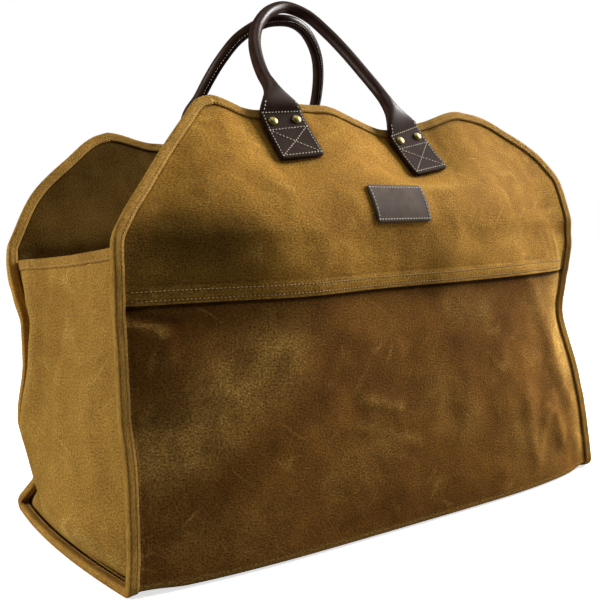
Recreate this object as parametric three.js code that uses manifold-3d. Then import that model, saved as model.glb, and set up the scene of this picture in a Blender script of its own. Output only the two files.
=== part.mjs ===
// A log carrier: a long, open tote of waxed canvas with rolled leather handles, standing by itself.
// Millimetres, +Z up, +X along its length, -Y to its front. The origin is the middle of its underside.
import * as THREE from "three";
import { mergeVertices } from "three/addons/utils/BufferGeometryUtils.js";
import Module from "manifold-3d";

const wasm = await Module();
wasm.setup();

// Cloth: thicknesses, seams and folds
const CANVAS = 1.6;
const TAPE = 1.0;
const CLEAR = 0.3;
const PLY = CANVAS + CLEAR;
const FLANGE = 12;
const FLANGE_INSET = 0.6;
const TAPE_REACH = 9;
const TAPE_CLEAR = 0.85;
const TAPE_ROUND = 0.6;
const SINGLE_ROOM = CANVAS / 2 + TAPE_CLEAR;
const DOUBLE_ROOM = SINGLE_ROOM + PLY;
const ROOM_FADE = 14;
const BASE_FOLD = 7;
const BASE_BOW = 7;
const BOUND_END = 12;
const BODY_BOW = 4;
const YOKE_BOW = 1.4;
const BOW_FROM = 215;
const BOW_TO = 265;

// Lap of the yokes over the upper edges of the sling. Away from its bound ends a yoke stands one ply
// outside the sling there, and the sling's upper edge behind it stops short of the ends.
const LAP_PLY = CANVAS + 0.6;
const LAP_BOTTOM = 219.3;
const LAP_TOP = 229;
const SLING_EDGE = 217;
const STRIP_FOOT = 218;
const LAP_END_FROM = 12;
const LAP_END_TO = 32;
const LAP_FADE_FROM = 236;
const LAP_FADE_TO = 272;

// Near its ends the base lifts off the surface, to leave room for the tape under its edge
const END_LIFT = 2.2;
const END_LIFT_FROM = 236;
const END_LIFT_TO = 268;
const END_LIFT_HEIGHT = 100;

// The long sides as they stand, a row for each level of a side. z is the height of the level at its
// ends. middle, left and right are how far it stands out from the centre plane, and left_half and
// right_half are how far it reaches along X.
const FRONT_LEVELS = [
  { z: 0, middle: 146, left: 131, right: 126, left_half: 287, right_half: 282 },
  { z: 44, middle: 142, left: 125, right: 119, left_half: 282, right_half: 281 },
  { z: 100, middle: 137, left: 120, right: 105, left_half: 281, right_half: 281 },
  { z: 135, middle: 133, left: 112, right: 92, left_half: 281, right_half: 281 },
  { z: 172, middle: 127, left: 110, right: 80, left_half: 281, right_half: 280 },
  { z: 220, middle: 119, left: 105, right: 86, left_half: 281, right_half: 279 },
  { z: 250, middle: 118, left: 105, right: 88, left_half: 281, right_half: 280 },
  { z: 271, middle: 117, left: 103, right: 86, left_half: 279, right_half: 282 },
  { z: 285, middle: 114, left: 97, right: 81, left_half: 270, right_half: 283 },
  { z: 312, middle: 99, left: 80, right: 70, left_half: 243, right_half: 283 },
  { z: 340, middle: 72, left: 62, right: 57, left_half: 214, right_half: 266 },
  { z: 369, middle: 47, left: 43, right: 41, left_half: 182, right_half: 219 },
  { z: 383, middle: 35, left: 34, right: 33, left_half: 166, right_half: 188 },
  { z: 388, middle: 31, left: 31, right: 31, left_half: 152, right_half: 156 },
];
const BACK_LEVELS = [
  { z: 0, middle: 148, left: 118, right: 120, left_half: 283, right_half: 281 },
  { z: 8, middle: 149, left: 114, right: 120, left_half: 282, right_half: 281 },
  { z: 22, middle: 152, left: 97, right: 119, left_half: 281, right_half: 281 },
  { z: 40, middle: 156, left: 80, right: 118, left_half: 279, right_half: 281 },
  { z: 62, middle: 160, left: 90, right: 116, left_half: 280, right_half: 281 },
  { z: 89, middle: 164, left: 111, right: 112, left_half: 281, right_half: 281 },
  { z: 150, middle: 161, left: 94, right: 98, left_half: 280, right_half: 280 },
  { z: 183, middle: 156, left: 96, right: 100, left_half: 280, right_half: 280 },
  { z: 205, middle: 152, left: 110, right: 108, left_half: 281, right_half: 281 },
  { z: 237, middle: 148, left: 125, right: 120, left_half: 281, right_half: 281 },
  { z: 251, middle: 147, left: 125, right: 122, left_half: 280, right_half: 280 },
  { z: 265, middle: 146, left: 129, right: 127, left_half: 273, right_half: 273 },
  { z: 300, middle: 149, left: 144, right: 141, left_half: 249, right_half: 249 },
  { z: 340, middle: 155, left: 160, right: 157, left_half: 200, right_half: 200 },
  { z: 359, middle: 159, left: 168, right: 165, left_half: 173, right_half: 173 },
  { z: 365, middle: 160, left: 170, right: 167, left_half: 156, right_half: 156 },
];

// How far the top edges sag under the handles
const FRONT_SAG = [
  { x: -185, drop: -1 },
  { x: -152, drop: 0 },
  { x: -105, drop: 11 },
  { x: -52, drop: 3 },
  { x: -30, drop: 3 },
  { x: 52, drop: 23 },
  { x: 105, drop: 13 },
  { x: 152, drop: 0 },
  { x: 185, drop: -1 },
];
const BACK_SAG = [
  { x: -185, drop: -1 },
  { x: -152, drop: 0 },
  { x: -105, drop: 10 },
  { x: -52, drop: 11 },
  { x: 0, drop: 8 },
  { x: 52, drop: 11 },
  { x: 105, drop: 10 },
  { x: 152, drop: 0 },
  { x: 185, drop: -1 },
];
const SAG_DEPTH = 85;
const SAG_FULL = 40;

// Broad swells of the cloth, each along a line on a side and fading out at its bound ends
const FRONT_SWELLS = [{ x: -204, z: 314, to_x: -118, to_z: 243, width: 54, height: 13 }];
const SWELL_FADE = 60;

const FRONT = { sign: -1, levels: FRONT_LEVELS, sag: FRONT_SAG, swells: FRONT_SWELLS, top: 388 };
const BACK = { sign: 1, levels: BACK_LEVELS, sag: BACK_SAG, swells: [], top: 365 };

// Where the cloth is divided: up the sling and yokes, over the base, and across. A column's middle
// half keeps to the same x at every level, and the rest spreads from there to the bound ends.
const MIDDLE_REACH = 105;
const MIDDLE_SHARE = 0.5;
const HALF_COLUMNS = [0.25, 0.5, 0.65, 0.775, 0.89, 0.965, 1];
const INNER_COLUMN = 0.965;
const STRIP_REACH = 0.775;
const SLING_LEVELS = [BASE_FOLD, 22, 40, 62, 89, 120, 150, 172, 195, SLING_EDGE];
const FRONT_YOKE_LEVELS = [LAP_BOTTOM, 228, 240, 258, 271, 284, 298, 313, 328, 344, 360, 372, 381, 388];
const BACK_YOKE_LEVELS = [LAP_BOTTOM, 228, 237, 251, 265, 282, 300, 320, 338, 355, 365];
const FOLD_TURNS = [45, 90];
const BASE_SHARES = [0.8, 0.4, 0, -0.4, -0.8];

// End walls, a row for each level: how far each stands out past its flat plane, at a quarter, half
// and three quarters of the way from the front to the back. Less than nothing is folded inwards.
const GUSSET_FRONT_TOP = 266;
const GUSSET_BACK_TOP = 239;
const GUSSET_FRONT_LEVELS = [...SLING_LEVELS, 230, 247, GUSSET_FRONT_TOP];
const GUSSET_BACK_LEVELS = [...SLING_LEVELS, LAP_BOTTOM, 229, GUSSET_BACK_TOP];
const GUSSET_SHARES = [0.7, 0.35, 0, -0.35, -0.7];
const LEFT_SWELL = [
  { level: 0, front: 0, middle: 0, back: 0 },
  { level: 0.16, front: 0.3, middle: 0.6, back: 0.6 },
  { level: 0.3, front: 4, middle: 10, back: 13 },
  { level: 0.5, front: 3, middle: 7, back: 8 },
  { level: 0.8, front: 0, middle: -1, back: 1 },
  { level: 1, front: -1, middle: -3, back: -1 },
];
const RIGHT_SWELL = [
  { level: 0, front: 0, middle: 0, back: 0 },
  { level: 0.2, front: -3, middle: -6, back: -3 },
  { level: 0.5, front: -21, middle: -33, back: -20 },
  { level: 0.7, front: -30, middle: -46, back: -28 },
  { level: 1, front: -25, middle: -40, back: -24 },
];
const HEM_SAG = 2;
const HEM_INSET = 4;
const HEM_REACH = 8.5;

// Handles: the leather strap's section on the way from the foot of a tab to the round grip
const TAB_LENGTH = 62;
const GRIP_RADIUS = 6.2;
const STRAP_SIDES = 12;
const STRAP_SECTIONS = [
  { along: 0, half_width: 20.5, half_thick: 1.6, squareness: 8 },
  { along: 3, half_width: 23, half_thick: 1.75, squareness: 8 },
  { along: 20, half_width: 23, half_thick: 1.75, squareness: 8 },
  { along: 36, half_width: 23, half_thick: 1.75, squareness: 8 },
  { along: 52, half_width: 22.5, half_thick: 1.9, squareness: 7 },
  { along: 60, half_width: 19.5, half_thick: 3.2, squareness: 4 },
  { along: 68, half_width: 14.8, half_thick: 4.8, squareness: 3 },
  { along: 77, half_width: 10, half_thick: 6.1, squareness: 2.4 },
  { along: 87, half_width: 7.6, half_thick: 6.4, squareness: 2 },
  { along: 98, half_width: GRIP_RADIUS, half_thick: GRIP_RADIUS, squareness: 2 },
];
const GRIP_STEP = 17;

// The strap's middle, from the foot of each tab up to the top edge: along X, and above the yoke's face
const TAB_SEAT = [
  { along: 0, front_left: -79, front_right: 80.5, back_left: -67, back_right: 102, seat: 2.1 },
  { along: 20, front_left: -79.5, front_right: 77.5, back_left: -66.5, back_right: 102, seat: 2.2 },
  { along: 36, front_left: -80.5, front_right: 74.5, back_left: -66, back_right: 102.5, seat: 2.9 },
  { along: 52, front_left: -81, front_right: 71.3, back_left: -65.5, back_right: 103, seat: 4.5 },
  { along: 60, front_left: -81, front_right: 69, back_left: -65.5, back_right: 103, seat: 8.2 },
];
const TAB_FEELERS = [-22, -11, 0, 11, 22];
const FEELER_REACH = 60;

// The round grips, each in a plane through the tops of its tabs that leans towards the other
const FRONT_GRIP = {
  side: FRONT,
  tabs: ["front_left", "front_right"],
  base: new THREE.Vector3(0, -34, 379),
  lean: 41.7,
  route: [
    { across: -80, rise: 26, stand: 7 },
    { across: -78, rise: 44, stand: 4 },
    { across: -72, rise: 72, stand: 2 },
    { across: -62, rise: 99, stand: 1 },
    { across: -44, rise: 127, stand: 0 },
    { across: -18, rise: 151, stand: 0 },
    { across: 6, rise: 160, stand: 0 },
    { across: 28, rise: 151, stand: 0 },
    { across: 43, rise: 125, stand: 0 },
    { across: 53, rise: 96, stand: 0 },
    { across: 60, rise: 67, stand: 0 },
    { across: 64.5, rise: 38, stand: 1 },
    { across: 64, rise: 14, stand: 3 },
  ],
};
const BACK_GRIP = {
  side: BACK,
  tabs: ["back_left", "back_right"],
  base: new THREE.Vector3(0, 160, 354),
  lean: -30,
  route: [
    { across: -66, rise: 30, stand: 15 },
    { across: -63, rise: 55, stand: 7 },
    { across: -60, rise: 80, stand: 2 },
    { across: -53, rise: 104, stand: 0 },
    { across: -39, rise: 129, stand: 0 },
    { across: -15, rise: 148, stand: 0 },
    { across: 3, rise: 153, stand: 0 },
    { across: 22, rise: 153, stand: 0 },
    { across: 40, rise: 146, stand: 0 },
    { across: 56, rise: 133, stand: 0 },
    { across: 69, rise: 117, stand: 0 },
    { across: 79, rise: 98, stand: 1 },
    { across: 88, rise: 76, stand: 4 },
    { across: 95, rise: 54, stand: 8 },
    { across: 102, rise: 31, stand: 15 },
  ],
};

// Rivets
const RIVET_ALONG = 43;
const RIVET_SPREAD = 12.5;
const RIVET_SEAT = 1;
const RIVET_CAP = 4.5;
const RIVET_CAP_HEIGHT = 2.2;
const RIVET_SHANK = 1.5;
const RIVET_BURR = 4;
const RIVET_BURR_HEIGHT = 1;
const RIVET_DEPTH = 5.7;
const RIVET_SIDES = 8;
const HOLE_REACH = 20;

// Leather patch on the front yoke
const LABEL = { x: 2.5, z: 294, width: 67, height: 33, thickness: 1.8, seat: 0.45, columns: 6, rows: 4 };

const canvas = new THREE.MeshStandardMaterial({ color: 0x8f6426, roughness: 0.75, metalness: 0 });
const endCanvas = new THREE.MeshStandardMaterial({ color: 0xa1762f, roughness: 0.75, metalness: 0 });
const tape = new THREE.MeshStandardMaterial({ color: 0x875c22, roughness: 0.8, metalness: 0 });
const leather = new THREE.MeshStandardMaterial({ color: 0x38221a, roughness: 0.4, metalness: 0 });
const brass = new THREE.MeshStandardMaterial({ color: 0xb59a5b, roughness: 0.35, metalness: 1 });

const ALONG_X = new THREE.Vector3(1, 0, 0);

// The value of one column of a table at a place along its key: smooth, with no overshoot
function along(rows, key, column, at) {
  const last = rows.length - 1;
  const place = THREE.MathUtils.clamp(at, rows[0][key], rows[last][key]);
  let k = 0;
  while (k < last - 1 && rows[k + 1][key] < place) k += 1;
  const slope = (i) => (rows[i + 1][column] - rows[i][column]) / (rows[i + 1][key] - rows[i][key]);
  const tangent = (i) => {
    if (i === 0) return slope(0);
    if (i === last) return slope(last - 1);
    const before = slope(i - 1);
    const after = slope(i);
    return before * after > 0 ? (2 * before * after) / (before + after) : 0;
  };
  const span = rows[k + 1][key] - rows[k][key];
  const t = (place - rows[k][key]) / span;
  const rest = 1 - t;
  return rows[k][column] * rest * rest * (1 + 2 * t)
    + rows[k + 1][column] * t * t * (3 - 2 * t)
    + span * t * rest * (tangent(k) * rest - tangent(k + 1) * t);
}

// Height that the cloth's middle keeps above its nominal level
function lift(x, level) {
  const end = THREE.MathUtils.smoothstep(Math.abs(x), END_LIFT_FROM, END_LIFT_TO);
  const low = 1 - THREE.MathUtils.smoothstep(level, 0, END_LIFT_HEIGHT);
  return CANVAS / 2 + END_LIFT * end * low;
}

// How far a column of the cloth is along X, at a level of a side: column runs from -1 to 1
function columnX(side, column, level) {
  const half = along(side.levels, "z", column < 0 ? "left_half" : "right_half", level);
  const share = Math.abs(column);
  if (share <= MIDDLE_SHARE) return (column / MIDDLE_SHARE) * MIDDLE_REACH;
  const spread = (share - MIDDLE_SHARE) / (1 - MIDDLE_SHARE);
  return Math.sign(column) * THREE.MathUtils.lerp(MIDDLE_REACH, half, spread);
}

// How far a swell lifts the cloth at a place on its side
function swellHeight(swell, x, level) {
  const start = new THREE.Vector2(swell.x, swell.z);
  const run = new THREE.Vector2(swell.to_x, swell.to_z).sub(start);
  const place = new THREE.Vector2(x, level).sub(start);
  const share = THREE.MathUtils.clamp(place.dot(run) / run.lengthSq(), 0, 1);
  return swell.height * Math.exp(-((place.addScaledVector(run, -share).length() / swell.width) ** 2));
}

// A point in the middle of a long side's cloth. Its bound ends are straight.
function clothPoint(side, x, level) {
  const at = (column) => along(side.levels, "z", column, level);
  const half = at(x < 0 ? "left_half" : "right_half");
  const share = Math.min(1, Math.abs(x) / (half - BOUND_END));
  const bow = THREE.MathUtils.lerp(
    share ** BODY_BOW,
    THREE.MathUtils.smoothstep(share ** YOKE_BOW, 0, 1),
    THREE.MathUtils.smoothstep(level, BOW_FROM, BOW_TO),
  );
  const swell = side.swells.reduce((total, row) => total + swellHeight(row, x, level), 0);
  const out = THREE.MathUtils.lerp(at("middle"), at(x < 0 ? "left" : "right"), bow)
    + swell * THREE.MathUtils.smoothstep(half - Math.abs(x), 0, SWELL_FADE);
  const sagShare = THREE.MathUtils.smoothstep(level, side.top - SAG_DEPTH, side.top - SAG_FULL);
  const sag = along(side.sag, "x", "drop", x) * sagShare;
  return new THREE.Vector3(x, side.sign * out, level - sag + lift(x, level));
}

function sidePoint(side, column, level) {
  return clothPoint(side, columnX(side, column, level), level);
}

// The cloth runs in rows from the back's top edge down, under the base and up the front
function levelRow(side, level) {
  return (u) => sidePoint(side, u, level);
}

function foldRow(side, turn) {
  const angle = THREE.MathUtils.degToRad(turn);
  return (u) => {
    const start = sidePoint(side, u, BASE_FOLD);
    const out = Math.abs(start.y) - BASE_FOLD * (1 - Math.cos(angle));
    const height = BASE_FOLD * (1 - Math.sin(angle)) + lift(start.x, 0);
    return new THREE.Vector3(start.x, side.sign * out, height);
  };
}

// A row across the base, which bows out at its left end
function baseRow(share) {
  return (u) => {
    const back = sidePoint(BACK, u, BASE_FOLD);
    const front = sidePoint(FRONT, u, BASE_FOLD);
    const bow = u < 0 ? BASE_BOW * (1 - share * share) * u ** 4 : 0;
    const x = THREE.MathUtils.lerp(front.x, back.x, (1 + share) / 2) - bow;
    const reach = Math.abs(share < 0 ? front.y : back.y) - BASE_FOLD;
    return new THREE.Vector3(x, share * reach, lift(x, 0));
  };
}

// The sling's upper edge, which reaches up behind the yoke between the ends
function stripRow(side) {
  return (column) => sidePoint(side, column, Math.abs(column) <= STRIP_REACH ? LAP_TOP : STRIP_FOOT);
}

// A point in the middle of a yoke's cloth
function yokePoint(side, x, level) {
  const half = along(side.levels, "z", x < 0 ? "left_half" : "right_half", level);
  const fromEnd = THREE.MathUtils.smoothstep(half - Math.abs(x), LAP_END_FROM, LAP_END_TO);
  const ply = LAP_PLY * fromEnd * (1 - THREE.MathUtils.smoothstep(level, LAP_FADE_FROM, LAP_FADE_TO));
  return clothPoint(side, x, level).addScaledVector(sideNormal(side, x, level), ply);
}

function yokeRow(side, level) {
  return (column) => yokePoint(side, columnX(side, column, level), level);
}

// Outward direction of a long side
function sideNormal(side, x, level) {
  const sideways = clothPoint(side, x + 1, level).sub(clothPoint(side, x - 1, level));
  const rising = clothPoint(side, x, level + 1).sub(clothPoint(side, x, level - 1));
  return sideways.cross(rising).multiplyScalar(-side.sign).normalize();
}

const columns = [...HALF_COLUMNS.map((column) => -column).reverse(), 0, ...HALF_COLUMNS];
const upwards = (levels, row) => levels.map(row);
const downwards = (levels, row) => levels.map(row).reverse();

const backYokeRows = downwards(BACK_YOKE_LEVELS, (level) => yokeRow(BACK, level));
const frontYokeRows = upwards(FRONT_YOKE_LEVELS, (level) => yokeRow(FRONT, level));
const slingRows = [
  ...downwards(SLING_LEVELS, (level) => levelRow(BACK, level)),
  ...upwards(FOLD_TURNS, (turn) => foldRow(BACK, turn)),
  ...upwards(BASE_SHARES, baseRow),
  ...downwards(FOLD_TURNS, (turn) => foldRow(FRONT, turn)),
  ...upwards(SLING_LEVELS, (level) => levelRow(FRONT, level)),
];

const gridOf = (rows) => rows.map((row) => columns.map(row));

// A closed geometry from corner points and triangles
function solid(points, triangles) {
  const geometry = new THREE.BufferGeometry();
  geometry.setAttribute("position", new THREE.Float32BufferAttribute(points.flatMap((p) => p.toArray()), 3));
  geometry.setIndex(triangles);
  return geometry;
}

// Outward directions at the corners of a grid of points
function gridNormals(grid) {
  const normals = grid.map((line) => line.map(() => new THREE.Vector3()));
  for (let r = 0; r < grid.length - 1; r += 1) {
    for (let c = 0; c < grid[0].length - 1; c += 1) {
      const rising = grid[r + 1][c + 1].clone().sub(grid[r][c]);
      const falling = grid[r + 1][c].clone().sub(grid[r][c + 1]);
      const normal = rising.cross(falling).normalize();
      for (const [i, j] of [[r, c], [r + 1, c], [r, c + 1], [r + 1, c + 1]]) normals[i][j].add(normal);
    }
  }
  return normals.map((line) => line.map((normal) => normal.normalize()));
}

// A wall of cloth or leather, half its thickness to each side of a grid of points
function sheet(grid, thickness) {
  const rows = grid.length;
  const across = grid[0].length;
  const normals = gridNormals(grid);
  const points = [thickness / 2, -thickness / 2].flatMap((offset) => grid.flatMap((line, r) => line.map(
    (point, c) => point.clone().addScaledVector(normals[r][c], offset),
  )));
  const outer = (r, c) => r * across + c;
  const inner = (r, c) => rows * across + outer(r, c);
  const triangles = [];
  const quad = (a, b, c, d) => triangles.push(a, b, c, a, c, d);
  for (let r = 0; r < rows - 1; r += 1) {
    for (let c = 0; c < across - 1; c += 1) {
      quad(outer(r, c), outer(r, c + 1), outer(r + 1, c + 1), outer(r + 1, c));
      quad(inner(r, c), inner(r + 1, c), inner(r + 1, c + 1), inner(r, c + 1));
    }
  }
  const rim = (r, c, nextR, nextC) => quad(
    inner(r, c), inner(nextR, nextC), outer(nextR, nextC), outer(r, c),
  );
  for (let c = 0; c < across - 1; c += 1) {
    rim(0, c, 0, c + 1);
    rim(rows - 1, c + 1, rows - 1, c);
  }
  for (let r = 0; r < rows - 1; r += 1) {
    rim(r, across - 1, r + 1, across - 1);
    rim(r + 1, 0, r, 0);
  }
  return solid(points, triangles);
}

// A tube through rings of points, closed by its end caps or, with none, by meeting its own start
function loft(rings, cap = []) {
  const count = rings[0].length;
  const total = rings.length * count;
  const triangles = [];
  for (let k = 0; k < rings.length - (cap.length ? 1 : 0); k += 1) {
    for (let i = 0; i < count; i += 1) {
      const [a, b] = [k * count + i, k * count + ((i + 1) % count)];
      const [c, d] = [(b + count) % total, (a + count) % total];
      triangles.push(a, b, c, a, c, d);
    }
  }
  for (const [a, b, c] of cap) {
    triangles.push(c, b, a, total - count + a, total - count + b, total - count + c);
  }
  return solid(rings.flat(), triangles);
}

// The way along a line of points at each of them
function directions(points, closed) {
  const last = points.length - 1;
  return points.map((point, k) => {
    const before = k > 0 ? points[k - 1] : (closed && points[last]);
    const after = k < last ? points[k + 1] : (closed && points[0]);
    const forward = new THREE.Vector3();
    if (before) forward.add(point.clone().sub(before).normalize());
    if (after) forward.add(after.clone().sub(point).normalize());
    return forward.normalize();
  });
}

// Stations along an edge: the point, the way out past the edge, and the way that the cloth faces.
// The inner points lie on the same cloth, a little way in from the edge.
function edgeStations(points, innerPoints, forwards = directions(points, false)) {
  return points.map((point, k) => {
    const out = point.clone().sub(innerPoints[k]);
    out.addScaledVector(forwards[k], -out.dot(forwards[k])).normalize();
    return { point, out, face: forwards[k].clone().cross(out) };
  });
}

// The point on a yoke that is one reach in from a place on its edge, square to the way along the edge
function inFromEdge({ side, x, level }, forward, reach) {
  const start = yokePoint(side, x, level);
  const inward = -Math.sign(x) || 1;
  const sideways = yokePoint(side, x + inward, level).sub(start);
  const down = yokePoint(side, x, level - 1).sub(start);
  const acrossShare = down.dot(forward);
  const downShare = -sideways.dot(forward);
  const way = sideways.multiplyScalar(acrossShare).addScaledVector(down, downShare);
  const scale = (reach / way.length()) * Math.sign(acrossShare + downShare);
  return yokePoint(side, x + inward * acrossShare * scale, level - downShare * scale);
}

// The end of a folded tape, in triangles between the points of its ring
const TAPE_CAP = [[0, 1, 8], [0, 8, 9], [1, 2, 7], [1, 7, 8], [2, 3, 6], [2, 6, 7], [3, 4, 5], [3, 5, 6]];

// Tape folded over an edge. room gives, at each station, how far the cloth reaches under the tape
// on its outer and inner faces.
function foldedTape(stations, reach, room, cap) {
  const rings = stations.map((station) => {
    const { high, low } = room(station.point);
    const middle = (high + low) / 2;
    const place = (out, face) => station.point.clone()
      .addScaledVector(station.out, out).addScaledVector(station.face, face);
    return [
      place(-reach, high),
      place(CLEAR, high),
      place(CLEAR + TAPE_ROUND, middle),
      place(CLEAR, low),
      place(-reach, low),
      place(-reach, low - TAPE),
      place(CLEAR, low - TAPE),
      place(CLEAR + TAPE_ROUND + TAPE, middle),
      place(CLEAR, high + TAPE),
      place(-reach, high + TAPE),
    ];
  });
  return loft(rings, cap);
}

// The tape round the whole body: up the front at the left end, along the front's top edge, down and
// up the right end, and along the back's top edge. At the end seams it takes the end wall's flange in.
function edgeBinding() {
  const yokeEnd = (side, levels, hand) => levels.map(
    (level) => ({ side, level, x: columnX(side, hand, level) }),
  );
  const yokeTop = (side) => columns.slice(1, -1).map(
    (column) => ({ side, level: side.top, x: columnX(side, column, side.top) }),
  );
  const slingEnd = (hand) => slingRows.map((row) => ({ point: row(hand), inner: row(hand * INNER_COLUMN) }));
  const end = (hand) => [
    ...yokeEnd(BACK, BACK_YOKE_LEVELS, hand).reverse(),
    ...slingEnd(hand),
    ...yokeEnd(FRONT, FRONT_YOKE_LEVELS, hand),
  ];
  const places = [...end(-1), ...yokeTop(FRONT), ...end(1).reverse(), ...yokeTop(BACK).reverse()];
  const points = places.map((place) => place.point ?? yokePoint(place.side, place.x, place.level));
  const forwards = directions(points, true);
  const inner = places.map((place, k) => place.inner ?? inFromEdge(place, forwards[k], TAPE_REACH));
  const room = ({ y, z }) => {
    const wallTop = y < 0 ? GUSSET_FRONT_TOP : GUSSET_BACK_TOP;
    const above = THREE.MathUtils.smoothstep(z, wallTop + CANVAS, wallTop + ROOM_FADE);
    return { high: SINGLE_ROOM, low: THREE.MathUtils.lerp(-DOUBLE_ROOM, -SINGLE_ROOM, above) };
  };
  return foldedTape(edgeStations(points, inner, forwards), TAPE_REACH, room);
}

// The seam line of an end wall, from the top of its back edge down, along the base and up its front
function gussetRows() {
  return [
    ...downwards(GUSSET_BACK_LEVELS, (level) => levelRow(BACK, level)),
    ...upwards(FOLD_TURNS, (turn) => foldRow(BACK, turn)),
    ...upwards(GUSSET_SHARES, baseRow),
    ...downwards(FOLD_TURNS, (turn) => foldRow(FRONT, turn)),
    ...upwards(GUSSET_FRONT_LEVELS, (level) => levelRow(FRONT, level)),
  ];
}

// A line of points round the seam, split into the front, bottom and back edges of an end wall
function wallEdges(line) {
  const high = GUSSET_FRONT_LEVELS.length + 1;
  return {
    back: line.slice(0, high).reverse(),
    bottom: line.slice(high - 1, line.length - high + 1).reverse(),
    front: line.slice(-high),
  };
}

// How far an end wall stands out past its flat plane
function wallSwell(swell, level, across) {
  const at = (column) => along(swell, "level", column, level);
  const section = [
    { across: 0, out: 0 },
    { across: 0.25, out: at("front") },
    { across: 0.5, out: at("middle") },
    { across: 0.75, out: at("back") },
    { across: 1, out: 0 },
  ];
  return along(section, "across", "out", across);
}

// An end wall: a sheet whose front, bottom and back edges turn out into the flange of the end seam
function gussetWall(end, swell) {
  const rows = gussetRows();
  const stations = edgeStations(rows.map((row) => row(end)), rows.map((row) => row(end * INNER_COLUMN)));
  const inside = (back) => stations.map((station) => station.point.clone()
    .addScaledVector(station.out, -back).addScaledVector(station.face, end * PLY));
  const corner = wallEdges(inside(FLANGE));
  const rim = wallEdges(inside(FLANGE_INSET));
  const [frontFoot, backFoot] = [corner.front[0], corner.back[0]];
  const wall = corner.front.map((front, j) => corner.bottom.map((bottom) => {
    const across = (frontFoot.y - bottom.y) / (frontFoot.y - backFoot.y);
    const level = j / (corner.front.length - 1);
    const settle = Math.max(0, 1 - j / 2);
    const point = front.clone().lerp(corner.back[j], across);
    point.addScaledVector(bottom.clone().sub(frontFoot.clone().lerp(backFoot, across)), settle);
    point.x += end * wallSwell(swell, level, across);
    point.z -= HEM_SAG * level * 4 * across * (1 - across);
    return point;
  }));
  const flanged = wall.map((line, j) => [rim.front[j], ...line, rim.back[j]]);
  const mitred = (edge, share) => edge[0].clone().lerp(edge[1], share);
  const reversed = [...rim.bottom].reverse();
  const bottomFlange = [
    mitred(rim.bottom, 1 / 3),
    mitred(rim.bottom, 2 / 3),
    ...rim.bottom.slice(1, -1),
    mitred(reversed, 2 / 3),
    mitred(reversed, 1 / 3),
  ];
  return { wall, grid: [bottomFlange, ...flanged] };
}

// The hem folded over an end wall's top edge, clear of the seams at its two ends
function gussetHem(wall) {
  const shorten = (line) => {
    const inset = (from, to) => from.clone().addScaledVector(to.clone().sub(from).normalize(), HEM_INSET);
    const last = line.length - 1;
    return [inset(line[0], line[2]), ...line.slice(2, -2), inset(line[last], line[last - 2])];
  };
  const [below, top] = wall.slice(-2).map(shorten);
  const room = () => ({ high: SINGLE_ROOM, low: -SINGLE_ROOM });
  return foldedTape(edgeStations(top, below), HEM_REACH, room, TAPE_CAP);
}

// The level on a yoke at x that is so far down its cloth from the top edge
function levelBelowTop(side, x, below) {
  const step = 0.5;
  let level = side.top;
  let here = yokePoint(side, x, level);
  let run = 0;
  while (run < below) {
    level -= step;
    const next = yokePoint(side, x, level);
    run += next.distanceTo(here);
    here = next;
  }
  return level;
}

// A stiff tab lies on the yoke as it is divided: feelers across the tab find the yoke's outer face,
// the outer two set its tilt and the highest one its height
function tabSeat(side, yokeMesh, x, below, seat) {
  const level = levelBelowTop(side, x, below);
  const normal = sideNormal(side, x, level);
  const rising = yokePoint(side, x, level + 1).sub(yokePoint(side, x, level - 1)).normalize();
  const feel = (offset) => {
    const over = yokePoint(side, x + offset, level).addScaledVector(normal, FEELER_REACH / 2);
    const ray = new THREE.Raycaster(over, normal.clone().negate(), 0, FEELER_REACH);
    return ray.intersectObject(yokeMesh)[0].point;
  };
  const touches = TAB_FEELERS.map(feel);
  const sideways = touches.at(-1).clone().sub(touches[0]).normalize();
  const face = sideways.cross(rising).multiplyScalar(-side.sign).normalize();
  const middle = touches[0].clone().lerp(touches.at(-1), 0.5);
  const bump = Math.max(...touches.map((touch) => touch.clone().sub(middle).dot(face)));
  return { point: middle.addScaledVector(face, bump + seat), face };
}

// The middle line of a handle, from the foot of its left tab round to the foot of its right tab,
// and the way that the strap faces along it
function handleLine(grip, yokeMesh) {
  const tab = (column) => TAB_SEAT.map(
    (row) => tabSeat(grip.side, yokeMesh, row[column], TAB_LENGTH - row.along, row.seat),
  );
  const lean = THREE.MathUtils.degToRad(grip.lean);
  const rising = new THREE.Vector3(0, Math.sin(lean), Math.cos(lean));
  const outward = new THREE.Vector3(0, Math.cos(lean), -Math.sin(lean)).multiplyScalar(grip.side.sign);
  const round = grip.route.map(({ across, rise, stand }) => ({
    point: grip.base.clone().addScaledVector(ALONG_X, across)
      .addScaledVector(rising, rise).addScaledVector(outward, stand),
    face: outward,
  }));
  const [left, right] = grip.tabs.map(tab);
  const stops = [...left, ...round, ...right.reverse()];
  const line = new THREE.CatmullRomCurve3(stops.map((stop) => stop.point));
  const faces = new THREE.CatmullRomCurve3(stops.map((stop) => stop.face));
  const length = line.getLength();
  const at = (distance) => {
    const t = line.getUtoTmapping(0, distance);
    const forward = line.getTangent(t);
    const face = faces.getPoint(t);
    face.addScaledVector(forward, -face.dot(forward)).normalize();
    return { point: line.getPoint(t), across: face.clone().cross(forward), face };
  };
  return { length, at };
}

// One round of points on the strap, flat at the tabs and round along the grip
function strapRing(line, distance) {
  const fromEnd = Math.min(distance, line.length - distance);
  const size = (column) => along(STRAP_SECTIONS, "along", column, fromEnd);
  const bend = (value) => Math.sign(value) * Math.abs(value) ** (2 / size("squareness"));
  const { point, across, face } = line.at(distance);
  return Array.from({ length: STRAP_SIDES }, (_, i) => {
    const angle = ((i + 0.5) / STRAP_SIDES) * 2 * Math.PI;
    return point.clone().addScaledVector(across, size("half_width") * bend(Math.cos(angle)))
      .addScaledVector(face, size("half_thick") * bend(Math.sin(angle)));
  });
}

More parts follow.
